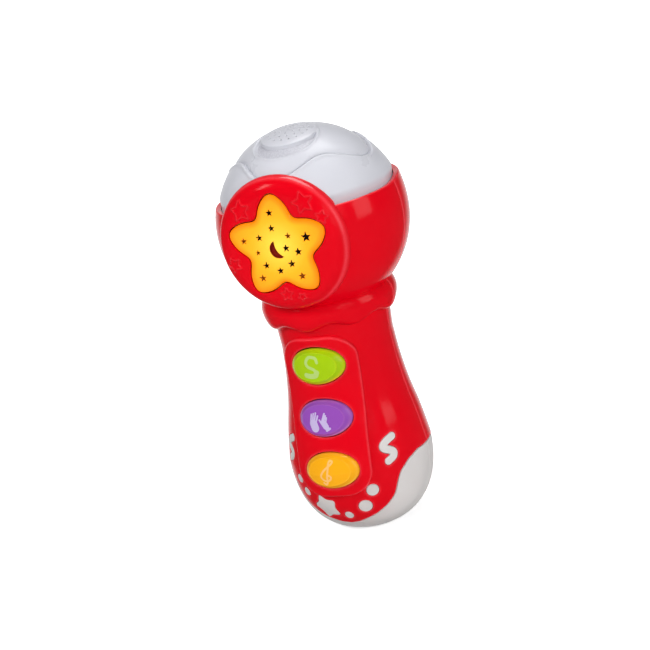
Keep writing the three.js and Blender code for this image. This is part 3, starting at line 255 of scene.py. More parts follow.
# %% [markdown]
# ### Curves and stars
# The lit star has full arms with round tips. Three cosine waves about a circle give that form with no corners to
# round off, and their sizes were measured in the photograph. The smaller stars have straight sides and rounded
# corners.

# %% Curves and stars
def spline(points, steps):
    """Catmull-Rom curve through the points, each span 0.5 (2p1 + (p2-p0)t + (2p0-5p1+4p2-p3)t^2 + ...t^3)."""
    p = np.asarray(points, float)
    p = np.concatenate([[2 * p[0] - p[1]], p, [2 * p[-1] - p[-2]]])
    t = np.linspace(0, 1, steps, endpoint=False)[:, None]
    spans = [0.5 * (2 * b + (c - a) * t + (2 * a - 5 * b + 4 * c - d) * t ** 2
                    + (3 * b - a - 3 * c + d) * t ** 3) for a, b, c, d in zip(p, p[1:], p[2:], p[3:])]
    return np.concatenate(spans + [p[-2:-1]])


def star_outline(tip, notch):
    """Ten corners at 36 degrees, in turn at the tip's and the notch's reach."""
    turn = np.pi / 2 + np.arange(10) * np.pi / 5
    reach = np.where(np.arange(10) % 2, notch, tip)
    return np.stack([reach * np.cos(turn), reach * np.sin(turn)], 1)


def rounded_star(tip, notch, round_, steps=7):
    """The star with each corner replaced by the curve (1-t)^2 s + 2t(1-t) c + t^2 e."""
    corners = star_outline(tip + round_ / 2, notch)
    before, after = np.roll(corners, 1, axis=0), np.roll(corners, -1, axis=0)
    reach = np.where(np.arange(10) % 2, round_ / 2, round_)[:, None]
    length = np.linalg.norm(after - corners, axis=1)[:, None]
    start = corners + (before - corners) * reach / length
    end = corners + (after - corners) * reach / length
    t = np.linspace(0, 1, steps)[None, :, None]
    curve = (1 - t) ** 2 * start[:, None] + 2 * t * (1 - t) * corners[:, None] + t ** 2 * end[:, None]
    return curve.reshape(-1, 2)


STAR_MEAN, STAR_WAVES, STAR_LEAN = 17.72, {5: 3.49, 15: 0.095, 20: 0.046}, np.radians(0.7)


def puffed_star():
    """The lens outline: r = mean + the sum of size cos(n t) over the waves, with t from the upper tip."""
    turn = np.arange(150) / 150 * TAU
    reach = sum((size * np.cos(count * turn) for count, size in STAR_WAVES.items()), STAR_MEAN)
    lean = turn - STAR_LEAN
    return np.stack([-reach * np.sin(lean), reach * np.cos(lean)], 1) + FACE_SHIFT


def soft_star(tip, notch, spin, round_):
    """A small star with rounded corners, turned by spin."""
    c, s = np.cos(spin), np.sin(spin)
    return rounded_star(tip, notch, round_, 5) @ np.array([[c, s], [-s, c]])


lens_star = puffed_star()
print("the lit star reaches", round(float(lens_star[:, 1].max()), 2), "mm up")

# %% [markdown]
# ### Ovals, slabs and soft steps
# Buttons are ovals, and the panel, the door and the switch's slot are rectangles with round corners. For these a
# short formula gives the distance directly, with no outline to walk along.

# %% Ovals, slabs and soft steps
def smooth_step(values, low, high):
    """3s^2 - 2s^3 between two values."""
    share = np.clip((values - low) / (high - low), 0, 1)
    return share ** 2 * (3 - 2 * share)


def oval_distance(x, z, half_width, half_height):
    """Distance from an oval, positive outside: (q - 1) q / |grad|, with q^2 = (x/w)^2 + (z/h)^2."""
    q = np.sqrt((x / half_width) ** 2 + (z / half_height) ** 2)
    slope = np.sqrt((x / half_width ** 2) ** 2 + (z / half_height ** 2) ** 2)
    return (q - 1) * q / np.maximum(slope, 1e-9)


def slab_distance(x, z, half_width, low, high, corner):
    """Distance from a rounded rectangle, positive inside."""
    px = np.abs(x) - (half_width - corner)
    pz = np.abs(z - (low + high) / 2) - ((high - low) / 2 - corner)
    outside = np.hypot(np.maximum(px, 0), np.maximum(pz, 0))
    return corner - outside - np.minimum(np.maximum(px, pz), 0)


def slab_at(place, *sizes):
    """The same for points of the skin, seen from the front or from behind."""
    return slab_distance(place[:, 0], place[:, 2], *sizes)


print("1 mm beside an oval:", round(float(oval_distance(3.0, 0.0, 2.0, 1.0)), 2), "mm")

# %% [markdown]
# ## The skin
# The shells and the base share one skin, a turned profile: a fat oval foot, a flare to the waist, the rolled
# collar and the ball. A Screw modifier could turn it, but as a formula it also gives every other piece a place to
# lie on.

# %% Profile of the skin
def profile_points():
    """(radius, height) from the centre of the foot to the rim of the cup."""
    drop = np.linspace(1, 0, 40) ** 1.5
    height = BELLY_HEIGHT * (1 - drop)
    foot = BELLY_RADIUS * (1 - ((BELLY_HEIGHT - height) / BASE_DEPTH) ** BASE_POWER) ** (1 / BASE_POWER)
    base = np.stack([foot, height], 1)
    shares = np.array([[0, 0], [0.25, 0.113], [0.5, 0.356], [0.75, 0.722], [1, 1]])
    flare = spline(np.stack([WAIST_RADIUS + (BELLY_RADIUS - WAIST_RADIUS) * shares[:, 1],
                             WAIST_HEIGHT - (WAIST_HEIGHT - BELLY_HEIGHT) * shares[:, 0]], 1)[::-1], 12)
    collar = spline([(23.58, 90.35), (24.2, 90.62), (25.4, 90.95), (26.4, 91.6), (27.1, 92.7), (27.55, 94.1),
                     (27.8, 96), (27.75, 97.5), (27.4, 99.0), (26.75, 100.3), (26.08, 101)], 5)
    turn = np.linspace(np.arccos((NECK_HEIGHT - BALL_HEIGHT) / BALL_RADIUS),
                       np.arccos((RIM_HEIGHT - BALL_HEIGHT) / BALL_RADIUS), 60)[1:]
    cup = np.stack([BALL_RADIUS * np.sin(turn), BALL_HEIGHT + BALL_RADIUS * np.cos(turn)], 1)
    return np.concatenate([[[0, 0]], base, flare[1:], collar, cup])


COLLAR_FOOT, COLLAR_FULL, COLLAR_KEEP, COLLAR_END = 88.3, 90.2, 91.4, 97.0
profile = profile_points()
run_at = np.concatenate([[0], np.cumsum(np.linalg.norm(np.diff(profile, axis=0), axis=1))])
fine_run = np.arange(0, run_at[-1], 0.15)
fine_run = np.append(fine_run, run_at[-1])
fine = np.stack([np.interp(fine_run, run_at, profile[:, 0]), np.interp(fine_run, run_at, profile[:, 1])], 1)
RIM_RUN = fine_run[-1]
print("profile", round(RIM_RUN, 1), "mm long")

# %% [markdown]
# ### Walls along the skin
# A moulded wall has about the same thickness everywhere, so its inner face is moved in square to the skin. The
# lobes of the collar are on the outside only. The lining follows a softened profile, so that it never folds over.

# %% The turned skin and its lining
def smoothed(values, width):
    """Running mean with a Gaussian weight exp(-(k/width)^2), ends held."""
    k = np.arange(-3 * width, 3 * width + 1)
    weight = np.exp(-(k / width) ** 2)
    held = np.pad(values, (3 * width, 3 * width), mode="reflect", reflect_type="odd")
    return np.convolve(held, weight / weight.sum(), mode="valid")


def inward(points):
    """Unit normals of the profile that point to the axis side, (-dz, dr) / |.| turned over."""
    slope = np.gradient(points, axis=0)
    normal = np.stack([-slope[:, 1], slope[:, 0]], 1)
    return normal / np.maximum(np.linalg.norm(normal, axis=1), 1e-9)[:, None]


fine_normal = inward(np.stack([smoothed(fine[:, 0], 2), smoothed(fine[:, 1], 2)], 1))
soft = np.stack([smoothed(fine[:, 0], 16), smoothed(fine[:, 1], 16)], 1)
soft_normal = inward(soft)
lobe_ends = np.interp([COLLAR_FOOT, COLLAR_FULL, COLLAR_KEEP, COLLAR_END], fine[:, 1], fine_run)
lobe_weight = np.interp(fine_run, lobe_ends, [0, 1, 1, 0])
RIM_LIFT, RIM_BLEND = 1.2, 14


def rim_lift(turn, run):
    """The rim stands higher behind than in front, blended over the last millimetres of the cup."""
    folded = np.abs((turn + np.pi) % TAU - np.pi)
    near_rim = smooth_step(run, RIM_RUN - RIM_BLEND, RIM_RUN)
    return RIM_LIFT * smooth_step(folded, np.radians(80), np.radians(112)) * near_rim


def skin(turn, run, depth=0.0):
    """(r sin t, -r cos t, z) on the profile, moved inwards by depth; the lobes lower z by w cos 8t."""
    r, z, nr, nz, lobe = (np.interp(run, fine_run, values) for values in
                          (fine[:, 0], fine[:, 1], fine_normal[:, 0], fine_normal[:, 1], lobe_weight))
    z = z - LOBE_DIP * lobe * np.cos(LOBES * turn) + nz * depth + rim_lift(turn, run)
    r = np.maximum(r + nr * depth, 0)
    return np.stack([r * np.sin(turn), -r * np.cos(turn), z], 1)


def lining(turn, run, depth):
    """The inside of a wall: the softened profile moved inwards."""
    r, z, nr, nz = (np.interp(run, fine_run, values) for values in
                    (soft[:, 0], soft[:, 1], soft_normal[:, 0], soft_normal[:, 1]))
    r = np.maximum(r + nr * depth, 0)
    return np.stack([r * np.sin(turn), -r * np.cos(turn), z + nz * depth + rim_lift(turn, run)], 1)


rising = fine[:, 1] > 0.001


def run_of(height):
    """Length along the profile at a height of the handle."""
    return np.interp(height, fine[rising, 1], fine_run[rising])


def radius_of(height):
    """Radius of the skin at a height of the handle."""
    return np.interp(height, fine[rising, 1], fine[rising, 0])


print("radius at the waist", round(float(radius_of(WAIST_HEIGHT)), 2), "mm")

# %% [markdown]
# ## The wavy edge of the white base
# Seen from the front, red dips into white in a broad wave: low in front, high at both sides. The photograph shows
# the front only, so the rear is made the same. The wave is a short table of heights, smoothed.

# %% Edge of the base
EDGE_TIP, EDGE_SIDE, EDGE_TURN = 6.0, 31.5, np.radians(75)
EDGE_SHARES = np.array([[0, 0], [0.13, 0.02], [0.37, 0.13], [0.53, 0.275], [0.63, 0.435], [0.67, 0.635],
                        [0.72, 0.78], [0.85, 0.93], [1, 1]])
edge_table = np.stack([np.linspace(0, 1, 241), np.interp(np.linspace(0, 1, 241), *EDGE_SHARES.T)], 1)
edge_table[:, 1] = smoothed(edge_table[:, 1], 6)


def edge_height(turn):
    """Height of the edge between white and red at a turn from the front, the same behind."""
    folded = np.abs((turn + np.pi) % TAU - np.pi)
    folded = np.minimum(folded, np.pi - folded)
    share = np.interp(np.minimum(folded / EDGE_TURN, 1), *edge_table.T)
    return EDGE_TIP + (EDGE_SIDE - EDGE_TIP) * share


def edge_distance(turn, run):
    """Distance above the edge along the skin: (z - e(t)) / sqrt((dz/ds)^2 + (e'/r)^2)."""
    z, r = np.interp(run, fine_run, fine[:, 1]), np.interp(run, fine_run, fine[:, 0])
    climb = np.interp(run, fine_run, np.gradient(fine[:, 1], fine_run))
    step = 0.01
    slope = (edge_height(turn + step) - edge_height(turn - step)) / (2 * step) / np.maximum(r, 5)
    return (z - edge_height(turn)) / np.sqrt(climb ** 2 + slope ** 2 + 1e-6)


print("white edge at", round(float(edge_height(0.0)), 1), "mm in front,", round(float(edge_height(np.pi / 2)), 1),
      "mm at the sides")

# %% [markdown]
# ## Places on the front
# White dots, a star and two squiggles stand in holes of the red front. They could be colour alone. Here they are
# bosses of the white base, so that each has a real edge, and holes and bosses come from the same drawings.

# %% Inlays as outlines
INLAY_DOTS = [(2.757, 28.5, 21.5), (2.995, 19.9, 14.6), (1.957, 2.3, 10.8), (2.016, -34.0, 21.3),
              (2.046, -39.2, 26.7)]
round_turn = np.arange(40) / 40 * TAU
circle = np.stack([np.cos(round_turn), np.sin(round_turn)], 1)
SQUIGGLE_HALF = 1.75
SQUIGGLE = spline([(2.1, 5.6), (-0.6, 4.6), (-2.8, 2.9), (-2.3, 1.6), (0.0, 0.4), (1.2, -0.8), (0.4, -2.4),
                   (-2.0, -3.6)], 7)
inlays = [(circle * size, 0.0, np.radians(turn), height) for size, turn, height in INLAY_DOTS]
inlays.append((soft_star(5.8, 4.1, 0.25, 2.2), 0.0, np.radians(-16.8), 15.0))
inlays += [(SQUIGGLE, SQUIGGLE_HALF, np.radians(turn), height) for turn, height in ((49.5, 35.5), (-49.0, 38.0))]
INLAY_REACH = 11


def drawn_distance(points, inlay):
    """Distance inside an inlay's drawing: a closed outline, or a line with a stroke's half-width."""
    return stroke_distance(points, inlay[0], inlay[1]) if inlay[1] else outline_distance(points, inlay[0])


def inlay_distance(place, inlay):
    """Distance inside an inlay, which is drawn on a plane and thrown along the radius."""
    _, _, turn, height = inlay
    along = place[:, 0] * np.cos(turn) + place[:, 1] * np.sin(turn)
    flat = np.stack([along, place[:, 2] - height], 1)
    near = (-place[:, 0] * np.sin(turn) + place[:, 1] * np.cos(turn) < 0) & (np.abs(flat).max(1) < INLAY_REACH)
    distance = np.full(len(place), -6.0)
    distance[near] = np.maximum(drawn_distance(flat[near], inlay), -6.0)
    return distance


print(len(inlays), "inlays")

# %% [markdown]
# ### Panel and places of the buttons
# The buttons look out of a raised panel with round corners. Its step is a quarter of a sine wave across 1.1 mm,
# which gives the soft shoulder of the moulded part without a bevel.

# %% Panel and places of the buttons
OUTWARD = np.array([0, -np.cos(BUTTON_TILT), np.sin(BUTTON_TILT)])
UPWARD = np.array([0, np.sin(BUTTON_TILT), np.cos(BUTTON_TILT)])


def button_origin(name):
    """The point of the panel at the button's centre."""
    height = BUTTON_HEIGHTS[name]
    return np.array([0, -radius_of(height) - PANEL_RAISE, height])


def panel_inside(place):
    """Distance inside the panel's outline, for points of the skin."""
    return slab_at(place, PANEL_HALF, PANEL_BOTTOM, PANEL_TOP, PANEL_CORNER)


def panel_raise(place):
    """Height of the raised panel, raise x sin(pi/2 clip((d + 0.3)/1.1))."""
    step = np.clip((panel_inside(place) + 0.3) / 1.1, 0, 1)
    return PANEL_RAISE * np.sin(np.pi / 2 * step) * (place[:, 1] < 0)


print("middle button at", np.round(button_origin("button_purple"), 1), "mm")

# %% [markdown]
# ## Putting a piece into the scene
# One function makes the object, shades it smooth with sharp creases, and hands it to the frame. Whole arrays go
# into the mesh at once with foreach_set, which is far quicker than adding faces one by one.

# %% Making objects
def link_object(name, data):
    """A new object with this data, placed in the scene."""
    item = bpy.data.objects.new(name, data)
    bpy.context.scene.collection.objects.link(item)
    return item


def add_piece(name, parts, materials, body="housing", nodes=(), sharp=40):
    """Joins parts (points in mm, triangles, material index, edge mask for rubbing and painted highlight) into one
    mesh object that rides on a body.
    """
    points = np.concatenate([part[0] for part in parts])
    offset = np.cumsum([0] + [len(part[0]) for part in parts])[:-1]
    tris = np.concatenate([part[1] + start for part, start in zip(parts, offset)])
    finish = np.concatenate([np.broadcast_to(part[2], len(part[1])) for part in parts])
    # Edge mask per point: rubbing, and painted highlight on red plastic and buttons.
    wear_and_sheen = np.concatenate([np.broadcast_to(part[3] if len(part) > 3 else 0.0, len(part[0])) for part in parts])
    corners = points[tris]
    area = np.linalg.norm(np.cross(corners[:, 1] - corners[:, 0], corners[:, 2] - corners[:, 0]), axis=1)
    solid = area > 1e-9
    tris, finish = tris[solid], finish[solid]
    mesh = bpy.data.meshes.new(name)
    mesh.vertices.add(len(points))
    mesh.vertices.foreach_set("co", (points * MM).astype(np.float32).ravel())
    mesh.loops.add(tris.size)
    mesh.loops.foreach_set("vertex_index", tris.astype(np.int32).ravel())
    mesh.polygons.add(len(tris))
    mesh.polygons.foreach_set("loop_start", (np.arange(len(tris)) * 3).astype(np.int32))
    mesh.polygons.foreach_set("material_index", finish.astype(np.int32))
    mesh.polygons.foreach_set("use_smooth", np.ones(len(tris), bool))
    mesh.update(calc_edges=True)
    attribute = mesh.attributes.new("edge", "FLOAT", "POINT")
    attribute.data.foreach_set("value", wear_and_sheen.astype(np.float32))
    mesh.set_sharp_from_angle(angle=np.radians(sharp))
    for material in materials:
        mesh.materials.append(material)
    piece = link_object(name, mesh)
    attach(piece, body)
    if nodes:
        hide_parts(*nodes)
    print(name, len(tris), "triangles")


# %% [markdown]
# ### Turned bodies
# Tubes and bosses are bodies of revolution. Rings about an axis make them directly, with no Screw modifier to
# apply and no doubled points at the seam.

# %% Turned bodies
def turned(points, steps=64, axis="z", centre=(0, 0, 0)):
    """A closed body of revolution from (radius, height) points that start and end on the axis or join up."""
    points = np.asarray(points, float)
    closed = points[0, 0] > 1e-6
    turn = np.arange(steps) / steps * TAU
    ring = np.stack([points[:, 0, None] * np.sin(turn), points[:, 0, None] * -np.cos(turn),
                     np.broadcast_to(points[:, 1, None], (len(points), steps))], -1)
    if closed:
        i = np.arange(len(points) * steps).reshape(len(points), steps)
        low, high = i, np.roll(i, -1, axis=0)
        places = ring.reshape(-1, 3)
        tris = []
    else:
        i = np.arange((len(points) - 2) * steps).reshape(len(points) - 2, steps)
        low, high = i[:-1], i[1:]
        places = np.concatenate([ring[1:-1].reshape(-1, 3), [[0, 0, points[0, 1]], [0, 0, points[-1, 1]]]])
        first, last = len(places) - 2, len(places) - 1
        tris = [np.stack([np.full(steps, first), np.roll(i[0], -1), i[0]], 1),
                np.stack([np.full(steps, last), i[-1], np.roll(i[-1], -1)], 1)]
    a, b, c, d = (k.ravel() for k in (low, np.roll(low, -1, 1), np.roll(high, -1, 1), high))
    tris = np.concatenate(tris + [np.stack([a, b, c], 1), np.stack([a, c, d], 1)])
    if axis == "y":
        places = np.stack([places[:, 0], -places[:, 2], places[:, 1]], 1)
    return places + np.asarray(centre, float), tris


print("a plain disc of 8 sides has", len(turned([(0, 0), (1, 0), (1, 1), (0, 1)], 8)[1]), "triangles")

# %% [markdown]
# ## Materials
# Every colour is moulded or printed plastic, so one node group gives them all a fine skin: a slight orange peel
# from the mould, a little uneven gloss from handling, and a paler line along edges, which is rubbing and, on the
# red plastic and the buttons, a painted highlight.

# %% Node helpers
def shader_node(tree, kind, values=None, **settings):
    """Adds a node, sets its properties, and links or sets its inputs."""
    item = tree.nodes.new(kind)
    for key, value in settings.items():
        setattr(item, key, value)
    for key, value in (values or {}).items():
        if isinstance(value, bpy.types.NodeSocket):
            tree.links.new(value, item.inputs[key])
        else:
            item.inputs[key].default_value = value
    return item


def object_place(tree):
    """Object coordinates, which lie in the piece itself and in metres."""
    return shader_node(tree, "ShaderNodeTexCoord").outputs["Object"]


def mix_colours(tree, share, first, second):
    """The first colour, going over to the second where share is 1."""
    return shader_node(tree, "ShaderNodeMix", {"Factor": share, 6: first, 7: second}, data_type="RGBA").outputs[2]


def math_of(tree, kind, *values):
    """One step of arithmetic."""
    return shader_node(tree, "ShaderNodeMath", dict(enumerate(values)), operation=kind).outputs[0]


def vector_of(tree, kind, output, *values):
    """One step of vector arithmetic."""
    return shader_node(tree, "ShaderNodeVectorMath", dict(enumerate(values)), operation=kind).outputs[output]


def mapped(tree, value, start, end, low=0.0, high=1.0, **settings):
    """The value, stretched from start..end to low..high."""
    return shader_node(tree, "ShaderNodeMapRange", {"Value": value, "From Min": start, "From Max": end,
                                                    "To Min": low, "To Max": high}, **settings).outputs["Result"]


def relief_of(tree, height, strength):
    """A normal bent by a height of up to 1 mm."""
    return shader_node(tree, "ShaderNodeBump", {"Height": height, "Strength": strength,
                                                "Distance": MM}).outputs["Normal"]


def new_material(name):
    """A material with nodes, its node tree and its surface shader."""
    material = bpy.data.materials.new(name)
    material.use_nodes = True
    return material, material.node_tree, material.node_tree.nodes["Principled BSDF"]


print("a relief is measured in steps of", MM, "m")

# %% [markdown]
# ### The shared skin group
# Three noises give the relief, the gloss and the paler edges, which are rubbing and, on the red plastic and the
# buttons, a painted highlight. They are in a group, so that each colour can use them without a copy. The edge mask
# itself is in each mesh, in the attribute named edge.

# %% The shared skin group
def moulded_group():
    """Height, Gloss, and Wear and sheen (rubbed edges, painted highlight) from Object coordinates:
    noises of about 1 mm, 12 mm and 0.4 mm.
    """
    tree = bpy.data.node_groups.new("moulded skin", "ShaderNodeTree")
    tree.interface.new_socket("Grain", in_out="INPUT", socket_type="NodeSocketFloat").default_value = 900
    for name in ("Height", "Gloss", "Wear and sheen"):
        tree.interface.new_socket(name, in_out="OUTPUT", socket_type="NodeSocketFloat")
    start = tree.nodes.new("NodeGroupInput")
    end = tree.nodes.new("NodeGroupOutput")
    place = object_place(tree)
    peel = shader_node(tree, "ShaderNodeTexNoise",
                       {"Vector": place, "Scale": start.outputs["Grain"], "Detail": 2.0})
    haze = shader_node(tree, "ShaderNodeTexNoise", {"Vector": place, "Scale": 80.0, "Detail": 4.0})
    rub = shader_node(tree, "ShaderNodeTexNoise", {"Vector": place, "Scale": 2600.0, "Detail": 3.0})
    edge = shader_node(tree, "ShaderNodeAttribute", attribute_name="edge").outputs["Fac"]
    # Edge mask times noise: rubbing, and on the red plastic and the buttons a painted highlight.
    rub_and_sheen = math_of(tree, "MULTIPLY", edge, rub.outputs["Fac"])
    tree.links.new(peel.outputs["Fac"], end.inputs["Height"])
    tree.links.new(haze.outputs["Fac"], end.inputs["Gloss"])
    tree.links.new(rub_and_sheen, end.inputs["Wear and sheen"])
    return tree


moulded = moulded_group()
print("skin group with", len(moulded.nodes), "nodes")

# %% [markdown]
# ### Moulded plastic
# A plain Principled surface looks like paint. Here its colour drifts a little with the gloss, and edges turn paler:
# rubbing, as on a toy that has been held, and on the red plastic and the buttons a painted highlight.

# %% Moulded plastic
COLOUR_DRIFT = 0.06


def plastic(name, colour, rough=0.25, bump=0.02, grain=900, specular=0.4, rub_and_sheen_colour=None, rub_and_sheen_share=0.25):
    """Moulded plastic: base colour mixed towards a paler colour along edges for rubbing and painted highlight,
    roughness = rough +- haze.
    """
    material, tree, surface = new_material(name)
    skin_node = shader_node(tree, "ShaderNodeGroup", node_tree=moulded)
    skin_node.inputs["Grain"].default_value = grain
    gloss = skin_node.outputs["Gloss"]
    rub_and_sheen_colour = rub_and_sheen_colour or [min(1, value * 0.8 + 0.15) for value in colour]
    deep = [value * (1 - COLOUR_DRIFT) for value in colour]
    base = mix_colours(tree, gloss, (*deep, 1), (*colour, 1))
    # Paler edges: rubbing, and on the red plastic and the buttons a painted highlight.
    amount = math_of(tree, "MULTIPLY", skin_node.outputs["Wear and sheen"], rub_and_sheen_share)
    tree.links.new(mix_colours(tree, amount, base, (*rub_and_sheen_colour, 1)), surface.inputs["Base Color"])
    tree.links.new(mapped(tree, gloss, 0.3, 0.7, rough * 0.9, rough * 1.12), surface.inputs["Roughness"])
    tree.links.new(relief_of(tree, skin_node.outputs["Height"], bump), surface.inputs["Normal"])
    surface.inputs["Specular IOR Level"].default_value = specular
    return material


def patterned(name, first, second, mask_kind, mask_values, rough=0.4, metallic=0.0, share=1.0):
    """Two colours mixed by a texture in Object coordinates over the shared moulded skin."""
    material = plastic(name, first, rough=rough, bump=0.05, grain=2600)
    tree = material.node_tree
    surface = tree.nodes["Principled BSDF"]
    surface.inputs["Metallic"].default_value = metallic
    mask = shader_node(tree, mask_kind, {"Vector": object_place(tree), **mask_values})
    sharpened = mapped(tree, mask.outputs[1 if mask_kind.endswith("Brick") else 0], 0.35, 0.65, high=share)
    before = surface.inputs["Base Color"].links[0].from_socket
    tree.links.new(mix_colours(tree, sharpened, before, (*second, 1)), surface.inputs["Base Color"])
    return material


# The paler edge colours of the buttons and the red plastic are painted highlights along their edges.
BUTTON_LOOK = {"rough": 0.17, "specular": 0.5, "rub_and_sheen_share": 1.7}
INK_LOOK = {"rough": 0.4, "specular": 0.3, "bump": 0.05, "grain": 2500}
red_plastic = plastic("red plastic", (0.73, 0.0, 0.008), rough=0.13, specular=0.38,
                      rub_and_sheen_colour=(0.95, 0.10, 0.13), rub_and_sheen_share=0.75)
white_plastic = plastic("white plastic", (0.655, 0.635, 0.625), rough=0.34, specular=0.35, bump=0.03)
dome_plastic = plastic("dome plastic", (0.60, 0.605, 0.655), rough=0.30, specular=0.4, bump=0.03)
green_plastic = plastic("green plastic", (0.36, 0.58, 0.002), rub_and_sheen_colour=(0.95, 0.6, 0.04), **BUTTON_LOOK)
purple_plastic = plastic("purple plastic", (0.29, 0.075, 0.45), rub_and_sheen_colour=(0.8, 0.3, 0.6), **BUTTON_LOOK)
orange_plastic = plastic("orange plastic", (0.94, 0.42, 0.006), rub_and_sheen_colour=(1.0, 0.6, 0.10), **BUTTON_LOOK)
print(len(bpy.data.materials), "materials")

# %% [markdown]
# ## Red front shell
# The front half of the red body: the cup with the opening for the light, the collar, and the grip with its
# raised panel. Its borders are the parting line, the wavy edge, the rim, and the holes. Each is a distance and the
# radius of its lip, and the rows of the sheet are closest where the collar bends most.

# %% Borders of the red shells
FRONT_FACE, REAR_FACE = PARTING - GAP / 2, PARTING + GAP / 2
ROWS_FROM, COLLAR_FROM, COLLAR_TO = 5.5, 88.5, 101.6
low_rows = np.arange(run_of(ROWS_FROM), run_of(COLLAR_FROM), 0.85)
collar_rows = np.arange(run_of(COLLAR_FROM), run_of(COLLAR_TO), 0.35)
cup_rows = np.linspace(run_of(COLLAR_TO), RIM_RUN, 52)
shell_rows = np.concatenate([low_rows, collar_rows[1:], cup_rows[1:]])


def of_skin(function):
    """A border given by points of the skin, read at sheet parameters (turn, run)."""
    return lambda places: function(skin(places[:, 0], places[:, 1]))


def star_axis_distance(place, radius):
    """Distance outside a cylinder about the star's axis, on the front side only."""
    distance = np.hypot(place[:, 0], place[:, 2] - STAR_HEIGHT) - radius
    return np.where(place[:, 1] < 0, distance, 10.0)


def round_hole(x, z, radius):
    """Distance outside a round hole along y, for points of the skin."""
    return lambda place: np.hypot(place[:, 0] - x, place[:, 2] - z) - radius


def panel_skin(turn, run, depth=0.0):
    """The front skin with the panel raised."""
    return skin(turn, run, depth - panel_raise(skin(turn, run)))


def button_hole(name):
    """Distance outside a button's oval hole, seen along the button's axis."""
    origin = button_origin(name)

    def distance(places):
        offset = panel_skin(places[:, 0], places[:, 1]) - origin
        return oval_distance(offset[:, 0], offset @ UPWARD, BUTTON_HALF_WIDTH + BUTTON_GAP,
                             BUTTON_HALF_HEIGHT + BUTTON_GAP)
    return distance


above_edge = (lambda places: edge_distance(places[:, 0], places[:, 1]) - GAP / 2, 0.35)
below_rim = (lambda places: RIM_RUN - places[:, 1] + 1e-4, 0.55)
front_borders = [(of_skin(lambda place: FRONT_FACE - place[:, 1]), 0.25), above_edge, below_rim,
                 (of_skin(lambda place: star_axis_distance(place, TUBE_RADIUS + GAP)), 0.3)]
front_borders += [(button_hole(name), 0.45) for name in BUTTON_HEIGHTS]
front_borders += [(of_skin(lambda place, inlay=inlay: -inlay_distance(place, inlay)), 0.2) for inlay in inlays]
print(len(front_borders), "borders of the front shell")

# %% [markdown]
# ### The front wall
# Extra lines are cut along the panel's shoulder, so that its curve has enough faces. The top of the shoulder is
# painted paler, as a painted highlight along it.

# %% Front shell
HALF_TURN = 96
panel_border = of_skin(panel_inside)
places, tris = grid_sheet(np.radians(np.linspace(-HALF_TURN, HALF_TURN, 131)), shell_rows)
places, tris = split_levels(places, tris, panel_border, (-0.3, 0.0, 0.25, 0.5, 0.8, 1.2))
places, tris = carve(places, tris, front_borders)
outer = panel_skin(places[:, 0], places[:, 1], lip_depth(places, front_borders))
inner = lining(places[:, 0], places[:, 1], WALL)
# Painted highlight: a paler line along the top of the panel's shoulder.
crest_highlight = np.exp(-((panel_border(places) - 0.45) / 0.35) ** 2)
wear_and_sheen = np.maximum(wear_and_sheen_of(places, front_borders, 0.8), crest_highlight)
add_piece("red_front", [wall_part(outer, inner, tris, wear_and_sheen)], [red_plastic], nodes=["front_shell"])

# %% [markdown]
# ## Red rear shell
# The rear half has no panel. It is open where the battery door sits, and it has a slot for the power switch and
# wells for four of the six screws. The photograph doesn't show it, so it follows how such toys are built.

# %% Rear wall
DOOR_HALF, DOOR_BOTTOM, DOOR_TOP = 11.175, 27.6, 87.3
SWITCH_HEIGHT = 116.0
WELLS = [(side * x, height) for x, height in ((24.0, 112.0), (17.5, 98.0), (19.5, 25.0)) for side in (-1, 1)]
SWITCH_SLOT_HALF, SWITCH_SLOT_RISE, WELL_RADIUS, WELL_WALL = 5.9, 2.5, 3.0, 1.2
rear_borders = [
    (of_skin(lambda place: place[:, 1] - REAR_FACE), 0.25), above_edge, below_rim,
    (of_skin(lambda place: -slab_at(place, DOOR_HALF + GAP, DOOR_BOTTOM - GAP, DOOR_TOP + GAP, 1.0)), 0.25),
    (of_skin(lambda place: -slab_at(place, SWITCH_SLOT_HALF, SWITCH_HEIGHT - SWITCH_SLOT_RISE,
                                    SWITCH_HEIGHT + SWITCH_SLOT_RISE, 0.8)), 0.3)]
shell_wells, base_wells = WELLS[:4], WELLS[4:]
rear_borders += [(of_skin(round_hole(x, z, WELL_RADIUS)), 0.3) for x, z in shell_wells]
places, tris = grid_sheet(np.radians(np.linspace(180 - HALF_TURN, 180 + HALF_TURN, 131)), shell_rows)
places, tris = carve(places, tris, rear_borders)
outer = skin(places[:, 0], places[:, 1], lip_depth(places, rear_borders))
inner = lining(places[:, 0], places[:, 1], WALL)
rear_wall = wall_part(outer, inner, tris, wear_and_sheen_of(places, rear_borders))
print("rear wall", len(rear_wall[1]), "triangles")

# %% [markdown]
# ### Boxes and tubes inside the rear shell
# The battery tray is made of plates with bevelled edges. The wells are tubes whose outer end follows the skin.
# Each is its own closed body in the same mesh, because a boolean union would add nothing that can be seen.

# %% Boxes and tubes
BOX_BEVEL = 0.25


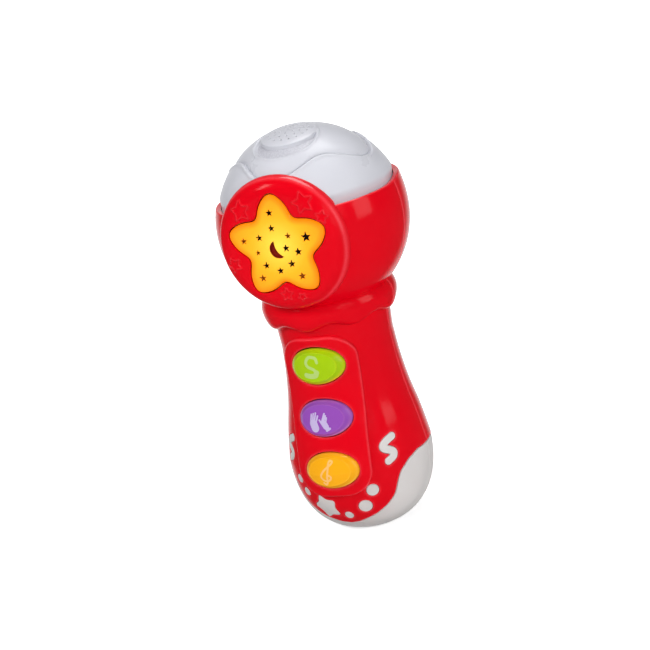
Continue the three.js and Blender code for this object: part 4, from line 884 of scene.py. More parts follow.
def soft_box(low, high):
    """A box with bevelled edges: the hull of its three grown slabs, as 24 points and 44 triangles."""
    low, high = np.array(low, float), np.array(high, float)
    signs = np.array([[i, j, k] for i in (-1, 1) for j in (-1, 1) for k in (-1, 1)])
    centre, half = (low + high) / 2, (high - low) / 2
    shrink = 1 - np.eye(3)
    points = np.concatenate([centre + signs * (half - BOX_BEVEL * row) for row in shrink])
    tris = []
    for axis in range(3):
        u, v = (axis + 1) % 3, (axis + 2) % 3
        for sign in (-1, 1):
            face = [axis * 8 + int(np.nonzero((signs[:, axis] == sign) & (signs[:, u] == a)
                                              & (signs[:, v] == b))[0][0])
                    for a, b in ((-1, -1), (1, -1), (1, 1), (-1, 1))][::sign]
            tris += [face[:3], [face[0], face[2], face[3]]]
        for a in (-1, 1):
            for b in (-1, 1):
                ends = [int(np.nonzero((signs[:, axis] == s) & (signs[:, u] == a) & (signs[:, v] == b))[0][0])
                        for s in (-1, 1)]
                strip = [u * 8 + ends[0], v * 8 + ends[0], v * 8 + ends[1], u * 8 + ends[1]][::-a * b]
                tris += [strip[:3], [strip[0], strip[2], strip[3]]]
    for corner in range(8):
        tri = [corner, 8 + corner, 16 + corner]
        tris.append(tri if signs[corner].prod() > 0 else tri[::-1])
    return points, np.array(tris)


def well_tube(x, z, low):
    """A tube along y whose upper end follows the skin, y = sqrt(R(z)^2 - x^2), less 0.2 inside and 1.5 outside."""
    turn = np.arange(48) / 48 * TAU
    rings = []
    wide = WELL_RADIUS + WELL_WALL
    for radius, drop in ((WELL_RADIUS, None), (WELL_RADIUS, 0.2), (wide, 1.5), (wide, None)):
        px, pz = x + radius * np.cos(turn), z + radius * np.sin(turn)
        top = np.sqrt(np.maximum(radius_of(pz) ** 2 - px ** 2, 1)) - (drop or 0)
        rings.append(np.stack([px, np.full(48, low) if drop is None else top, pz], 1))
    i = np.arange(4 * 48).reshape(4, 48)
    a, b, c, d = (k.ravel() for k in (i, np.roll(i, -1, 1), np.roll(np.roll(i, -1, 0), -1, 1), np.roll(i, -1, 0)))
    return np.concatenate(rings), np.concatenate([np.stack([a, b, c], 1), np.stack([a, c, d], 1)])


print("a bevelled box has", len(soft_box((0, 0, 0), (1, 1, 1))[1]), "triangles")

# %% [markdown]
# ### Battery tray and posts
# The tray has a floor, two sides and a lower end, and it overlaps itself by a fifth of a millimetre so that no
# light shows between the plates. The post below it takes the door's screw.

# %% Rear shell
TRAY_HALF, TRAY_LOW, TRAY_TOP, TRAY_FLOOR, TRAY_WALL, TRAY_OVERLAP = 11.025, 36.2, 87.0, 3.65, 1.4, 0.2
TRAY_SIDE_END, TRAY_FOOT_END, DOOR_SCREW_HEIGHT = 19.2, 25.0, 31.2
foot, under = TRAY_LOW - TRAY_WALL, TRAY_FLOOR - TRAY_OVERLAP
tray_outer = TRAY_HALF + TRAY_WALL
tray = [soft_box((-tray_outer, TRAY_FLOOR - TRAY_WALL, foot), (tray_outer, TRAY_FLOOR, TRAY_TOP))]
tray += [soft_box((left, under, foot), (left + TRAY_WALL, TRAY_SIDE_END, TRAY_TOP))
         for left in (TRAY_HALF, -tray_outer)]
tray.append(soft_box((-TRAY_HALF, under, foot), (TRAY_HALF, TRAY_FOOT_END, TRAY_LOW)))
rear_tubes = [well_tube(x, z, PARTING + GAP) for x, z in shell_wells]
post = [(2.0, -25.4), (2.0, -8.0), (3.6, -8.0), (3.6, -25.4)]
rear_tubes.append(turned(post, 40, "y", (0, 0, DOOR_SCREW_HEIGHT)))
add_piece("red_rear", [rear_wall] + [(*part, 0) for part in tray + rear_tubes], [red_plastic],
          nodes=["rear_shell"])

# %% [markdown]
# ## White base
# Two white halves make the foot. Each has a liner that stands up inside the red shell, and the front one carries
# the inlays on it. The sheet is a disc about the foot's centre, so the bottom has one point and no seam.

# %% Walls of the base
def base_half(borders, depth=0.0, thick=WALL, high=40.0):
    """One closed wall of the base up to a height, cut along its borders; on the disc, distance is the run."""
    foot = run_of(0.05)
    runs = np.concatenate([np.arange(1.5, foot, 1.5), np.arange(foot, run_of(high) + 0.9, 0.75)])
    places, tris = disc_sheet(runs, 180)
    places, tris = carve(places, tris, borders)
    turn, run = polar(places)
    outer = skin(turn, run, depth + lip_depth(places, borders))
    inner = lining(turn, run, depth + thick)
    return wall_part(outer, inner, tris, wear_and_sheen_of(places, borders))


def of_base(function):
    """A border of the base given by turn, run and point."""
    def distance(places):
        turn, run = polar(places)
        return function(turn, run, skin(turn, run))
    return distance


under_edge = (of_base(lambda turn, run, place: -edge_distance(turn, run) - GAP / 2), 0.35)
parting_front = (of_base(lambda turn, run, place: FRONT_FACE - place[:, 1]), 0.25)
parting_rear = (of_base(lambda turn, run, place: place[:, 1] - REAR_FACE), 0.25)
LINER_LAP, LINER_WALL, FRONT_LINER_TOP, REAR_LINER_TOP = 3.0, 1.5, 46.0, 35.5
liner_low = (of_base(lambda turn, run, place: edge_distance(turn, run) + LINER_LAP), 0.2)


def liner_top(height):
    """The border that ends a liner at a height."""
    return (of_base(lambda turn, run, place: height - place[:, 2]), 0.2)


def one_side(side, distance):
    """A border of the base that counts on one side only, -1 in front and 1 behind."""
    return of_base(lambda turn, run, place: np.where(place[:, 1] * side > 0, distance(place), 9.0))


WINDOW_TOP, DOOR_ROOM = 95.0, 1.7
window = (one_side(-1, lambda place: -slab_at(place, PANEL_HALF - GAP, PANEL_BOTTOM - GAP, WINDOW_TOP,
                                              PANEL_CORNER)), 0.2)
rear_window = (one_side(1, lambda place: -slab_at(place, DOOR_HALF + DOOR_ROOM, DOOR_BOTTOM - DOOR_ROOM, WINDOW_TOP,
                                                  0.5)), 0.2)
print("the front liner ends at", FRONT_LINER_TOP, "mm, the rear one at", REAR_LINER_TOP, "mm")

# %% [markdown]
# ### Inlay bosses
# A boss looks flat beside the curved red skin if its face is a plane. Each one is drawn on a fine grid and thrown
# onto the skin, so its face follows the same curve as the red around it.

# %% Inlay bosses
BOSS_SHRINK, BOSS_DEEP, BOSS_PROUD = 0.16, 3.4, 0.03


def inlay_boss(inlay):
    """A boss whose face follows the skin: the outline shrunk, on a fine grid, thrown along the radius."""
    drawing, half, turn, height = inlay
    low, high = drawing.min(0) - half - 0.5, drawing.max(0) + half + 0.5
    places, tris = grid_sheet(np.arange(low[0], high[0], 0.3), np.arange(low[1], high[1], 0.3))
    borders = [(lambda places: drawn_distance(places, inlay) - BOSS_SHRINK, 0.3)]
    places, tris = carve(places, tris, borders)
    z = places[:, 1] + height
    at = turn + np.arcsin(places[:, 0] / radius_of(z))
    outer = skin(at, run_of(z), lip_depth(places, borders) - BOSS_PROUD)
    inner = skin(at, run_of(z), np.full(len(z), BOSS_DEEP))
    return wall_part(outer, inner, tris, wear_and_sheen_of(places, borders, 0.6))


bosses = [inlay_boss(inlay) for inlay in inlays]
print(sum(len(boss[1]) for boss in bosses), "triangles in", len(bosses), "bosses")

# %% [markdown]
# ### The two halves
# Front and rear are cut at the parting line with a small gap between them, as two mouldings that meet.

# %% Base halves
front_liner = base_half([parting_front, liner_low, liner_top(FRONT_LINER_TOP), window], WALL + GAP, LINER_WALL,
                        high=FRONT_LINER_TOP)
add_piece("white_base_front", [base_half([parting_front, under_edge]), front_liner] + bosses, [white_plastic],
          nodes=["base_front"])
rear_liner = base_half([parting_rear, liner_low, liner_top(REAR_LINER_TOP), rear_window], WALL + GAP, LINER_WALL,
                       high=REAR_LINER_TOP + 0.5)
well_borders = [(one_side(1, round_hole(x, z, WELL_RADIUS)), 0.3) for x, z in base_wells]
base_tubes = [(*well_tube(x, z, PARTING + GAP), 0) for x, z in base_wells]
add_piece("white_base_rear", [base_half([parting_rear, under_edge] + well_borders), rear_liner] + base_tubes,
          [white_plastic], nodes=["base_rear"])

# %% [markdown]
# ## Push buttons
# Each button is a pillow-shaped oval that follows the curve of the grip. Its face is found along the button's
# axis, where the distance from the grip's axis equals the skin's radius plus the height of the pillow. A squashed
# sphere would be quicker, but it would stand off the curved panel at the ends.

# %% Shape of a button
HALF_SIZES = np.array([BUTTON_HALF_WIDTH, BUTTON_HALF_HEIGHT])
PILLOW_SHARE, PILLOW_DROP, BEVEL_DROP, BUTTON_SUNK, BUTTON_TAPER = 0.8, 0.5, 1.45, 4.2, 0.985


def button_face(x, up, origin, height):
    """Points origin + x X + up U + t N with hypot(x, y) = r(z) + height, by repeated correction of t."""
    t = np.zeros(len(x))
    base = origin + x[:, None] * np.array([1.0, 0, 0]) + up[:, None] * UPWARD
    for _ in range(14):
        place = base + t[:, None] * OUTWARD
        reach = np.hypot(place[:, 0], place[:, 1])
        t += (radius_of(place[:, 2]) + height - reach) / np.maximum(-place[:, 1] / reach, 0.3)
    return base + t[:, None] * OUTWARD


def pillow_height(ring):
    """Flat crown, a fine ridge round it, then a bevel c (s - 0.8)^1.25 and a skirt down into the hole."""
    face = BUTTON_CROWN - PILLOW_DROP * (ring / PILLOW_SHARE) ** 2
    bevel = BUTTON_CROWN - PILLOW_DROP - BEVEL_DROP * np.clip((ring - PILLOW_SHARE) / 0.17, 0, 1) ** 1.25
    skirt = 0.9 * np.clip((ring - 0.965) / 0.035, 0, 1) ** 2
    ridge = 0.14 * np.exp(-((ring - PILLOW_SHARE) / 0.03) ** 2)
    return np.where(ring < PILLOW_SHARE, face, bevel - skirt) + ridge


def button_rim_highlight(places, ring):
    """Painted highlight: the lower left of the rim paler, and faintly the ridge."""
    # Painted highlight, brightest on the lower left of the rim.
    low_left = smooth_step(-places[:, 0] - places[:, 1], -0.9, 0.6)
    rim = np.clip(1.3 - (1 - ring) * 14, 0, 1) * (0.15 + 0.85 * low_left)
    return rim + 0.12 * np.exp(-((ring - PILLOW_SHARE) / 0.02) ** 2)


def button_parts(name, symbol):
    """The pillow with its side wall, as one closed form about the button's axis."""
    origin = button_origin(name)
    rings = np.concatenate([np.linspace(0.03, PILLOW_SHARE, 26),
                            PILLOW_SHARE + 0.2 * np.sin(np.linspace(0.1, np.pi / 2, 12))])
    places, tris = disc_sheet(rings, 120)
    places, tris = split_levels(places, tris, lambda p: symbol(p * HALF_SIZES), (0.05, 0.0), snap=0.02)
    ring = np.hypot(places[:, 0], places[:, 1])
    x, up = places[:, 0] * BUTTON_HALF_WIDTH, places[:, 1] * BUTTON_HALF_HEIGHT
    outer = button_face(x, up, origin, PANEL_RAISE + pillow_height(ring))
    inner = button_face(x * BUTTON_TAPER, up * BUTTON_TAPER, origin, np.full(len(x), -BUTTON_SUNK))
    points, all_tris, _, wear_and_sheen = wall_part(outer, inner, tris, button_rim_highlight(places, ring))
    finish = np.zeros(len(all_tris), int)
    finish[:len(tris)] = symbol(places[tris].mean(1) * HALF_SIZES) > 0
    return points, all_tris, finish, wear_and_sheen


print("a button is", *(2 * HALF_SIZES), "mm wide and high")

# %% [markdown]
# ### Symbols on the buttons
# Each button carries a small picture: a wave, clapping hands or a music clef. They are drawn as strokes with a
# half-width in millimetres, and their edges are cut into the mesh, so they stay sharp from close by.

# %% Symbols
NECK = spline([(1.9, 1.9), (1.3, 3.7), (-1.3, 4.2), (-2.9, 2.4), (-2.4, 0.5), (0.1, -0.9), (1.3, -2.6)], 8)
BODY = spline([(1.1, -2.2), (0.3, -3.4), (-1.6, -3.6), (-3.6, -3.1)], 8)
FINGERS = [((-4.9, -0.6), (-4.3, 2.2)), ((-4.0, -0.3), (-3.3, 2.5)), ((-3.1, -0.2), (-2.3, 2.7)),
           ((-2.3, -0.6), (-1.5, 1.5)), ((0.1, -1.0), (1.5, 2.3)), ((0.9, -0.8), (1.9, 1.4)),
           ((1.7, -1.2), (2.2, 0.5)), ((-0.1, -1.6), (-0.9, -0.2))]
PALMS = [((-3.7, -1.6), (-3.2, -3.4), 1.75), ((0.9, -1.6), (1.6, -3.0), 1.25), ((1.8, -4.6), (3.1, -3.9), 0.5)]
CLEF = spline([(-1.0, -2.3), (-0.2, -1.4), (0.8, -2.2), (-0.1, -3.5), (-2.2, -3.5), (-3.5, -1.9), (-2.6, 0.0),
               (-0.8, 1.6), (1.2, 3.0), (2.2, 4.2), (1.3, 4.7), (0.5, 3.6), (0.0, 1.4), (-0.7, -1.6), (-1.2, -4.4),
               (-2.0, -5.2), (-2.8, -4.5)], 6)

WAVE_HALF, FOOT_HALF, FINGER_HALF, CLEF_HALF = 0.62, 1.05, 0.36, 0.4


def wave_symbol(points):
    """A curling wave with a heavy foot."""
    return np.maximum(stroke_distance(points, NECK, WAVE_HALF), stroke_distance(points, BODY, FOOT_HALF))


def hands_symbol(points):
    """Two clapping hands, each finger and palm a straight stroke."""
    strokes = [stroke_distance(points, np.array(ends, float), FINGER_HALF) for ends in FINGERS]
    strokes += [stroke_distance(points, np.array([a, b], float), half) for a, b, half in PALMS]
    return np.max(strokes, axis=0)


def clef_symbol(points):
    """The clef that stands at the start of written music, as one curling stroke."""
    return stroke_distance(points, CLEF, CLEF_HALF)


print(len(FINGERS) + len(PALMS), "strokes in the hands")

# %% [markdown]
# ### The three buttons
# They share one shape and differ in colour, symbol and the body they ride on. The ink is a little rougher than the
# plastic, and a paler tone of the same colour.

# %% Buttons
green_ink = plastic("pale green ink", (0.44, 0.62, 0.17), **INK_LOOK)
purple_ink = plastic("pale purple ink", (0.53, 0.44, 0.70), **INK_LOOK)
orange_ink = plastic("pale orange ink", (0.95, 0.52, 0.16), **INK_LOOK)
for name, material, ink, symbol, body in (
        ("button_green", green_plastic, green_ink, wave_symbol, "green_key"),
        ("button_purple", purple_plastic, purple_ink, hands_symbol, "purple_key"),
        ("button_orange", orange_plastic, orange_ink, clef_symbol, "orange_key")):
    add_piece(name.replace("button_", "key_"), [button_parts(name, symbol)], [material, ink], body=body,
              nodes=[name], sharp=30)

# %% [markdown]
# ## Star bezel
# A red disc sits in front of the ball, with a soft round edge, a star-shaped opening, and a tube behind it. It is
# a disc sheet laid on a profile, and its edge stops where it would run into the ball.

# %% Profile of the bezel
flat_end = BEZEL_RADIUS - BEZEL_ROUND
FACE_FLAT, BALL_ROOM = 20.0, 0.12
share = np.sin(np.linspace(0, np.pi / 2, 22))
bezel_profile = np.stack([FACE_FLAT + (BEZEL_RADIUS - FACE_FLAT) * share, BEZEL_FRONT - BEZEL_ROUND
                          + (FACE_FRONT - BEZEL_FRONT + BEZEL_ROUND) * np.sqrt(np.maximum(1 - share ** 2, 0))], 1)
bezel_profile = np.concatenate([[[0, FACE_FRONT]], bezel_profile, [[BEZEL_RADIUS, BEZEL_SINK + 1.2]]])
bezel_run = np.concatenate([[0], np.cumsum(np.linalg.norm(np.diff(bezel_profile, axis=0), axis=1))])


def ball_room(x, z):
    """How far in front of the axis plane the ball ends, sqrt(R^2 - x^2 - z^2), less over the dome."""
    over = np.clip((z - RIM_HEIGHT + 1) / 2, 0, 1)
    radius = BALL_RADIUS + BALL_ROOM + (DOME_RADIUS - BALL_RADIUS) * over
    return np.sqrt(np.maximum(radius ** 2 - x ** 2 - (z - BALL_HEIGHT) ** 2, 1))


def bezel_face(places, depth=0.0):
    """(r sin t, -y(s), z) along the bezel's profile, moved back by depth on the face."""
    turn, run = polar(places)
    r, front = np.interp(run, bezel_run, bezel_profile[:, 0]), np.interp(run, bezel_run, bezel_profile[:, 1])
    x, z = r * np.sin(turn), STAR_HEIGHT - r * np.cos(turn)
    clear = np.maximum(front - depth, ball_room(x, z) + 0.2)
    return np.stack([x, -np.where(run > flat_end, clear, front - depth), z], 1)


STAR_GAP, STAR_LIP = 0.42, 0.5
bezel_borders = [(lambda places: -outline_distance(places, lens_star) - STAR_GAP, STAR_LIP)]
bezel_rows = np.concatenate([np.arange(1.5, 19.9, 0.7), np.linspace(20.2, bezel_run[-2], 26),
                             np.linspace(bezel_run[-2], bezel_run[-1], 8)[1:]])
print("bezel profile", round(float(bezel_run[-1]), 1), "mm long")

# %% [markdown]
# ### Raised stars
# Thin raised outlines of small stars are scattered over the face. A bump in the material would be missing from the
# exported mesh, so they are ridges in the mesh itself, with five lines cut along each.

# %% Raised stars and bezel
RELIEF_STARS = [(13.6, 16.6, 4.4, 0.2), (20.3, 10.2, 2.7, -0.3), (-13.6, 15.6, 4.3, 0.1), (-21.0, -6.0, 3.2, 0.4),
                (-0.9, -19.6, 2.7, 0.0), (5.4, -21.0, 1.8, 0.5)]
relief_outlines = [soft_star(tip, tip * 0.55, spin, 0.5) + [x, z] for x, z, tip, spin in RELIEF_STARS]


def relief_distance(places):
    """Distance from the nearest raised star line."""
    return np.max([-np.abs(outline_distance(places, outline, 2.0)) for outline in relief_outlines], axis=0)


RIDGE_RISE, RIDGE_HALF, TUBE_FRONT, TUBE_WALL = 0.42, 0.3, 30.2, 1.6
places, tris = disc_sheet(bezel_rows, 220)
for outline in relief_outlines:
    places, tris = split_levels(places, tris, outline_border(outline), (-0.5, -0.25, 0.0, 0.25, 0.5))
places, tris = carve(places, tris, bezel_borders)
ridge = np.exp(-(relief_distance(places) / RIDGE_HALF) ** 2)
outer = bezel_face(places, lip_depth(places, bezel_borders) - RIDGE_RISE * ridge)
behind = bezel_face(places)
inner = np.stack([behind[:, 0], -np.minimum(BEZEL_FRONT - BEZEL_THICK, ball_room(behind[:, 0], behind[:, 2])),
                  behind[:, 2]], 1)
tube = turned([(TUBE_RADIUS, TUBE_FRONT), (TUBE_RADIUS, BEZEL_SINK), (TUBE_RADIUS - TUBE_WALL, BEZEL_SINK),
               (TUBE_RADIUS - TUBE_WALL, TUBE_FRONT)], 96, "y", (0, 0, STAR_HEIGHT))
rim_reach = np.interp(np.hypot(places[:, 0], places[:, 1]), bezel_run, bezel_profile[:, 0])
# Painted highlight: a paler band round the rim, except at the lower left, and along the raised star lines.
bezel_highlight = np.exp(-((rim_reach - 26.7) / 0.5) ** 2) * smooth_step(places[:, 1] + places[:, 0], -20, -4)
bezel_highlight = np.maximum(bezel_highlight, 0.4 * ridge)
add_piece("red_bezel", [wall_part(outer, inner, tris, bezel_highlight), (*tube, 0)], [red_plastic],
          nodes=["star_bezel"])

# %% [markdown]
# ## Star lens
# Tinted plastic lit from behind: bright yellow in the middle, orange towards the tips, with small star and moon
# windows onto the darker inside. The windows are shallow pits whose floors are painted with that inside: dark
# painted shade, amber or dark red. A pit keeps its form in the mesh itself.

# %% Windows of the lens
WINDOWS = np.array([
    [-0.091, 0.631, 0.072], [-0.113, 0.346, 0.069], [-0.39, 0.189, 0.067], [0.182, 0.181, 0.062],
    [0.528, 0.133, 0.1], [-0.705, 0.152, 0.064], [0.095, -0.04, 0.072], [0.319, -0.124, 0.076],
    [-0.47, -0.082, 0.053], [0.144, -0.339, 0.075], [-0.356, -0.333, 0.067], [-0.104, -0.448, 0.069],
    [-0.48, -0.561, 0.069], [0.3, -0.577, 0.076]]) * STAR_TIP
MOON_CENTRE = np.array([-0.06, -0.05]) * STAR_TIP


MOON_RADIUS, MOON_TURN, MOON_REACH, MOON_BOW = 3.7, np.radians(205.2), np.radians(93.6), 0.3


def moon_outline():
    """An arc, and back along a shallower bow between the same ends."""
    arc = MOON_TURN + MOON_REACH * np.linspace(-1, 1, 17)
    outer = MOON_RADIUS * np.stack([np.cos(arc), np.sin(arc)], 1)
    share = np.linspace(1, 0, 17)[1:-1, None]
    chord = outer[0] + (outer[-1] - outer[0]) * share
    bow = MOON_RADIUS * MOON_BOW * np.sin(np.pi * share)
    return np.concatenate([outer, chord + bow * [np.cos(MOON_TURN), np.sin(MOON_TURN)]])


WINDOW_SHIFT = np.array([0.7, 0.0])
# Which painted shade each window's floor takes: 1 dark, 2 amber, 3 dark red.
WINDOW_SHADE = np.array([1, 1, 1, 2, 1, 2, 1, 1, 2, 1, 1, 1, 2, 2, 3])
window_outlines = [star_outline(tip * 1.05, tip * 0.45) + [x, z] + WINDOW_SHIFT for x, z, tip in WINDOWS]
window_outlines.append(moon_outline() + MOON_CENTRE + WINDOW_SHIFT)


def window_distance(places):
    """Distance inside the nearest window, negative outside."""
    return np.max([outline_distance(places, outline, 2.0) for outline in window_outlines], axis=0)


print(len(window_outlines), "windows")

# %% [markdown]
# ### The lens body
# The lens is a flat plate with a rounded edge, a little proud of the red disc. Which window a pit belongs to
# decides the painted shade of its floor: dark, amber, or dark red for the moon.

# %% Body of the lens
LENS_PROUD, PIT_DEPTH, LENS_REACH = 0.15, 0.9, 22.5
lens_borders = [(lambda places: outline_distance(places, lens_star) - 0.02, 0.9)]
lens_steps = np.arange(-LENS_REACH, LENS_REACH + 0.1, 0.35)
places, tris = grid_sheet(lens_steps, lens_steps)
for outline in window_outlines:
    places, tris = split_levels(places, tris, outline_border(outline), (0.0, 0.1), snap=0.02)
places, tris = carve(places, tris, lens_borders)
LENS_FRONT = FACE_FRONT + LENS_PROUD
pit = PIT_DEPTH * smooth_step(window_distance(places), -0.01, 0.1)
across, height = places[:, 0], places[:, 1] + STAR_HEIGHT
outer = np.stack([across, pit - LENS_FRONT + lip_depth(places, lens_borders), height], 1)
inner = np.stack([across, np.full(len(places), GAP + BEZEL_THICK - BEZEL_FRONT), height], 1)
middle = places[tris].mean(1)
closest = np.argmax([outline_distance(middle, outline, 2.0) for outline in window_outlines], axis=0)
# Pits take their window's painted shade colour.
finish = np.where(window_distance(middle) > 0.0, WINDOW_SHADE[closest], 0)
edge = 1 - smooth_step(outline_distance(places, lens_star), 0.2, 3.0)
points, all_tris, _, lens_edge = wall_part(outer, inner, tris, edge)
# The lens's side wall is given the dark red painted shade as well.
finish = np.concatenate([finish, np.zeros(len(tris), int), np.full(len(all_tris) - 2 * len(tris), 3)])
print("lens front face", len(tris), "triangles")

# %% [markdown]
# ### The lit plastic
# A lamp behind real tinted plastic would need long renders. A weak glow in the same colours as the surface gives
# the look of light inside it, and the colour ramp follows the distance from the star's centre.

# %% Lens material
def lens_material():
    """Surface and glow from bright yellow at the centre to orange at the tips, and deep orange at the edge."""
    material, tree, surface = new_material("lit yellow lens")
    centred = vector_of(tree, "ADD", 0, object_place(tree), (0, 0, -STAR_HEIGHT * MM))
    flat = vector_of(tree, "MULTIPLY", 0, centred, (1, 0, 1))
    share = mapped(tree, vector_of(tree, "LENGTH", "Value", flat), 0.001, 0.022)
    ramp = shader_node(tree, "ShaderNodeValToRGB", {"Fac": share})
    stops = ramp.color_ramp.elements
    stops[0].color, stops[0].position = (0.92, 0.58, 0.055, 1), 0.0
    stops[1].color, stops[1].position = (0.92, 0.25, 0.006, 1), 1.0
    stops.new(0.5).color = (0.92, 0.37, 0.012, 1)
    edge = shader_node(tree, "ShaderNodeAttribute", attribute_name="edge").outputs["Fac"]
    tinted = mix_colours(tree, edge, ramp.outputs["Color"], (0.88, 0.20, 0.003, 1))
    for socket in ("Base Color", "Emission Color"):
        tree.links.new(tinted, surface.inputs[socket])
    surface.inputs["Emission Strength"].default_value = 0.38
    skin_node = shader_node(tree, "ShaderNodeGroup", node_tree=moulded)
    tree.links.new(relief_of(tree, skin_node.outputs["Height"], 0.03), surface.inputs["Normal"])
    surface.inputs["Roughness"].default_value = 0.2
    surface.inputs["Specular IOR Level"].default_value = 0.3
    return material


lit_lens = lens_material()
# Floors of the windows: painted shade of the inside seen through them, dark, amber and dark red.
window_shade_floors = [plastic(name, colour, rough=0.4, specular=0.1) for name, colour in (
    ("dark window", (0.012, 0.006, 0.005)), ("amber window", (0.34, 0.085, 0.006)),
    ("dark red window", (0.20, 0.010, 0.004)))]
add_piece("yellow_star", [(points, all_tris, finish, lens_edge)], [lit_lens] + window_shade_floors, nodes=["star_lens"])

# %% [markdown]
# ## Speaker dome
# A white dome with a shallow curved relief line, and on top a recess with the perforated speaker disc, tilted
# forwards. A sphere with a sculpted bump would do for one view, but a dome built from its directions can be pushed
# in by any formula and cut by any distance.

# %% Directions on the dome
GRILLE_AXIS = np.array([0, -np.sin(GRILLE_TILT), np.cos(GRILLE_TILT)])
TUCK_FROM, TUCK_TO = 66, 72.6


def dome_direction(places):
    """Direction from the ball's centre: polar angle = length of the flat point, turn from the front."""
    turn, angle = polar(places)
    return np.stack([np.sin(angle) * np.sin(turn), -np.sin(angle) * np.cos(turn), np.cos(angle)], 1)


def grille_reach(places):
    """Distance from the grille's axis on the dome."""
    direction = dome_direction(places)
    return DOME_RADIUS * np.sqrt(np.clip(1 - (direction @ GRILLE_AXIS) ** 2, 0, 1))


def dome_radius(places):
    """Radius of the dome: full above the shoulder, tucked in under the rim."""
    angle = np.degrees(np.hypot(places[:, 0], places[:, 1]))
    return DOME_RADIUS + (DOME_TUCKED - DOME_RADIUS) * smooth_step(angle, TUCK_FROM, TUCK_TO)


def dome_place(places, depth=0.0):
    """Ball centre + (radius - depth) x direction."""
    return (dome_radius(places) - depth)[:, None] * dome_direction(places) + [0, 0, BALL_HEIGHT]


print("dome top at", round(float(dome_place(np.zeros((1, 2)))[0, 2]), 1), "mm")

# %% [markdown]
# ### Relief of the dome
# The photograph shows a raised brim round the recess and a soft step along a wavy line. Bell curves and soft steps
# of the distance from each line give both.

# %% Relief of the dome
WAVE_ANGLE, WAVE_SWING, WAVE_COUNT, RECESS_LEAN = 46, 5.8, 4, np.radians(16.3)
RECESS_AXIS = [0, -np.sin(RECESS_LEAN), np.cos(RECESS_LEAN)]
HOLLOW_DEPTH, BRIM_RISE, WAVE_STEP, WAVE_GROOVE, CROWN_RISE = 1.15, 0.32, 1.15, 0.5, 0.35
DISC_INNER, DISC_EDGE, DISC_OUTER = GRILLE_RADIUS - 0.1, GRILLE_RADIUS + 0.17, GRILLE_RADIUS + 0.45


def relief_line(places):
    """Distance below the wavy relief line, which is angle + swing cos 4t degrees from the top."""
    turn, angle = polar(places)
    return (np.degrees(angle) - WAVE_ANGLE - WAVE_SWING * np.cos(WAVE_COUNT * turn)) * np.radians(DOME_RADIUS)


def recess_distance(places):
    """Distance outside the recess, whose axis leans farther forwards than the grille's."""
    return DOME_RADIUS * np.arccos(np.clip(dome_direction(places) @ RECESS_AXIS, -1, 1)) - RECESS_REACH


def dome_relief(places):
    """Depth: a recess with a raised brim, the grille disc in it, and a step with a rounded brim on the wave."""
    disc = grille_reach(places)
    inside = 1 - smooth_step(disc, DISC_INNER, DISC_OUTER)
    recess = recess_distance(places)
    hollow = HOLLOW_DEPTH * (1 - smooth_step(recess, -0.9, 0.0)) - BRIM_RISE * np.exp(-((recess - 0.55) / 0.5) ** 2)
    wave = relief_line(places)
    step = np.where(wave < 0, WAVE_STEP * np.exp(np.minimum(wave, 0) / 3.6), 0) * smooth_step(wave, 0.3, -0.3)
    step += WAVE_GROOVE * np.exp(-((wave + 0.55) / 0.38) ** 2)
    brim = -CROWN_RISE * np.exp(-((wave - 0.9) / 0.7) ** 2)
    crown = -CROWN_RISE * np.sqrt(np.clip(1 - (disc / (GRILLE_RADIUS + 0.2)) ** 8, 0, 1))
    return inside * crown + (1 - inside) * (hollow + step + brim)


print("depth on the disc", round(float(dome_relief(np.zeros((1, 2)))[0]), 2), "mm, so it stands proud")

# %% [markdown]
# ### Perforations
# The disc lets the sound out through rings of small holes. They are cut right through the dome's wall, so dark
# depth shows in them from every side.

# %% Perforations
HOLE_RADIUS, HOLE_RINGS = 0.42, ((0.001, 1), (2.9, 6), (5.5, 11), (8.1, 16))


def hole_ring(radius, count):
    """Directions of a ring of holes about the grille's axis."""
    turn = np.arange(count) / count * TAU
    side, up = np.array([1.0, 0, 0]), np.array([0, np.cos(GRILLE_TILT), np.sin(GRILLE_TILT)])
    flat = radius * (np.sin(turn)[:, None] * side + np.cos(turn)[:, None] * up)
    return flat + np.sqrt(DOME_RADIUS ** 2 - radius ** 2) * GRILLE_AXIS


grille_holes = np.concatenate([hole_ring(radius, count) for radius, count in HOLE_RINGS])


def holes_distance(places):
    """Distance outside the nearest perforation."""
    place = DOME_RADIUS * dome_direction(places)
    near = grille_reach(places) < GRILLE_RADIUS
    result = np.full(len(places), 3.0)
    gap = np.linalg.norm(place[near][:, None] - grille_holes[None], axis=2).min(1) - HOLE_RADIUS
    result[near] = gap
    return result


print(len(grille_holes), "holes")

# %% [markdown]
# ### The dome itself
# Rings are a little closer together near the top, where the finest forms are. The floor of the recess has a finish
# of its own: a pattern that stands for the fine mesh, in a darker tone that is painted shade in the hollow.

# %% Dome
FINE_ANGLE = 34
skirt_angle = np.arccos((DOME_SKIRT - BALL_HEIGHT) / DOME_TUCKED)
dome_borders = [(lambda places: star_axis_distance(dome_place(places), TUBE_RADIUS + GAP), 0.3),
                (holes_distance, 0.12)]
angles = np.concatenate([np.radians(np.arange(0.6, FINE_ANGLE, 0.55)),
                         np.linspace(np.radians(FINE_ANGLE), skirt_angle, 78)])
places, tris = disc_sheet(angles, 260)
for line, levels in ((grille_reach, (DISC_INNER, DISC_EDGE, DISC_OUTER)),
                     (recess_distance, (-0.9, -0.45, 0.0, 0.55, 1.1)),
                     (relief_line, (-1.0, -0.55, -0.3, 0.0, 0.3, 0.9))):
    places, tris = split_levels(places, tris, line, levels)
places, tris = carve(places, tris, dome_borders)
outer = dome_place(places, dome_relief(places) + lip_depth(places, dome_borders))
inner = dome_place(places, np.full(len(places), DOME_WALL))
middle = places[tris].mean(1)
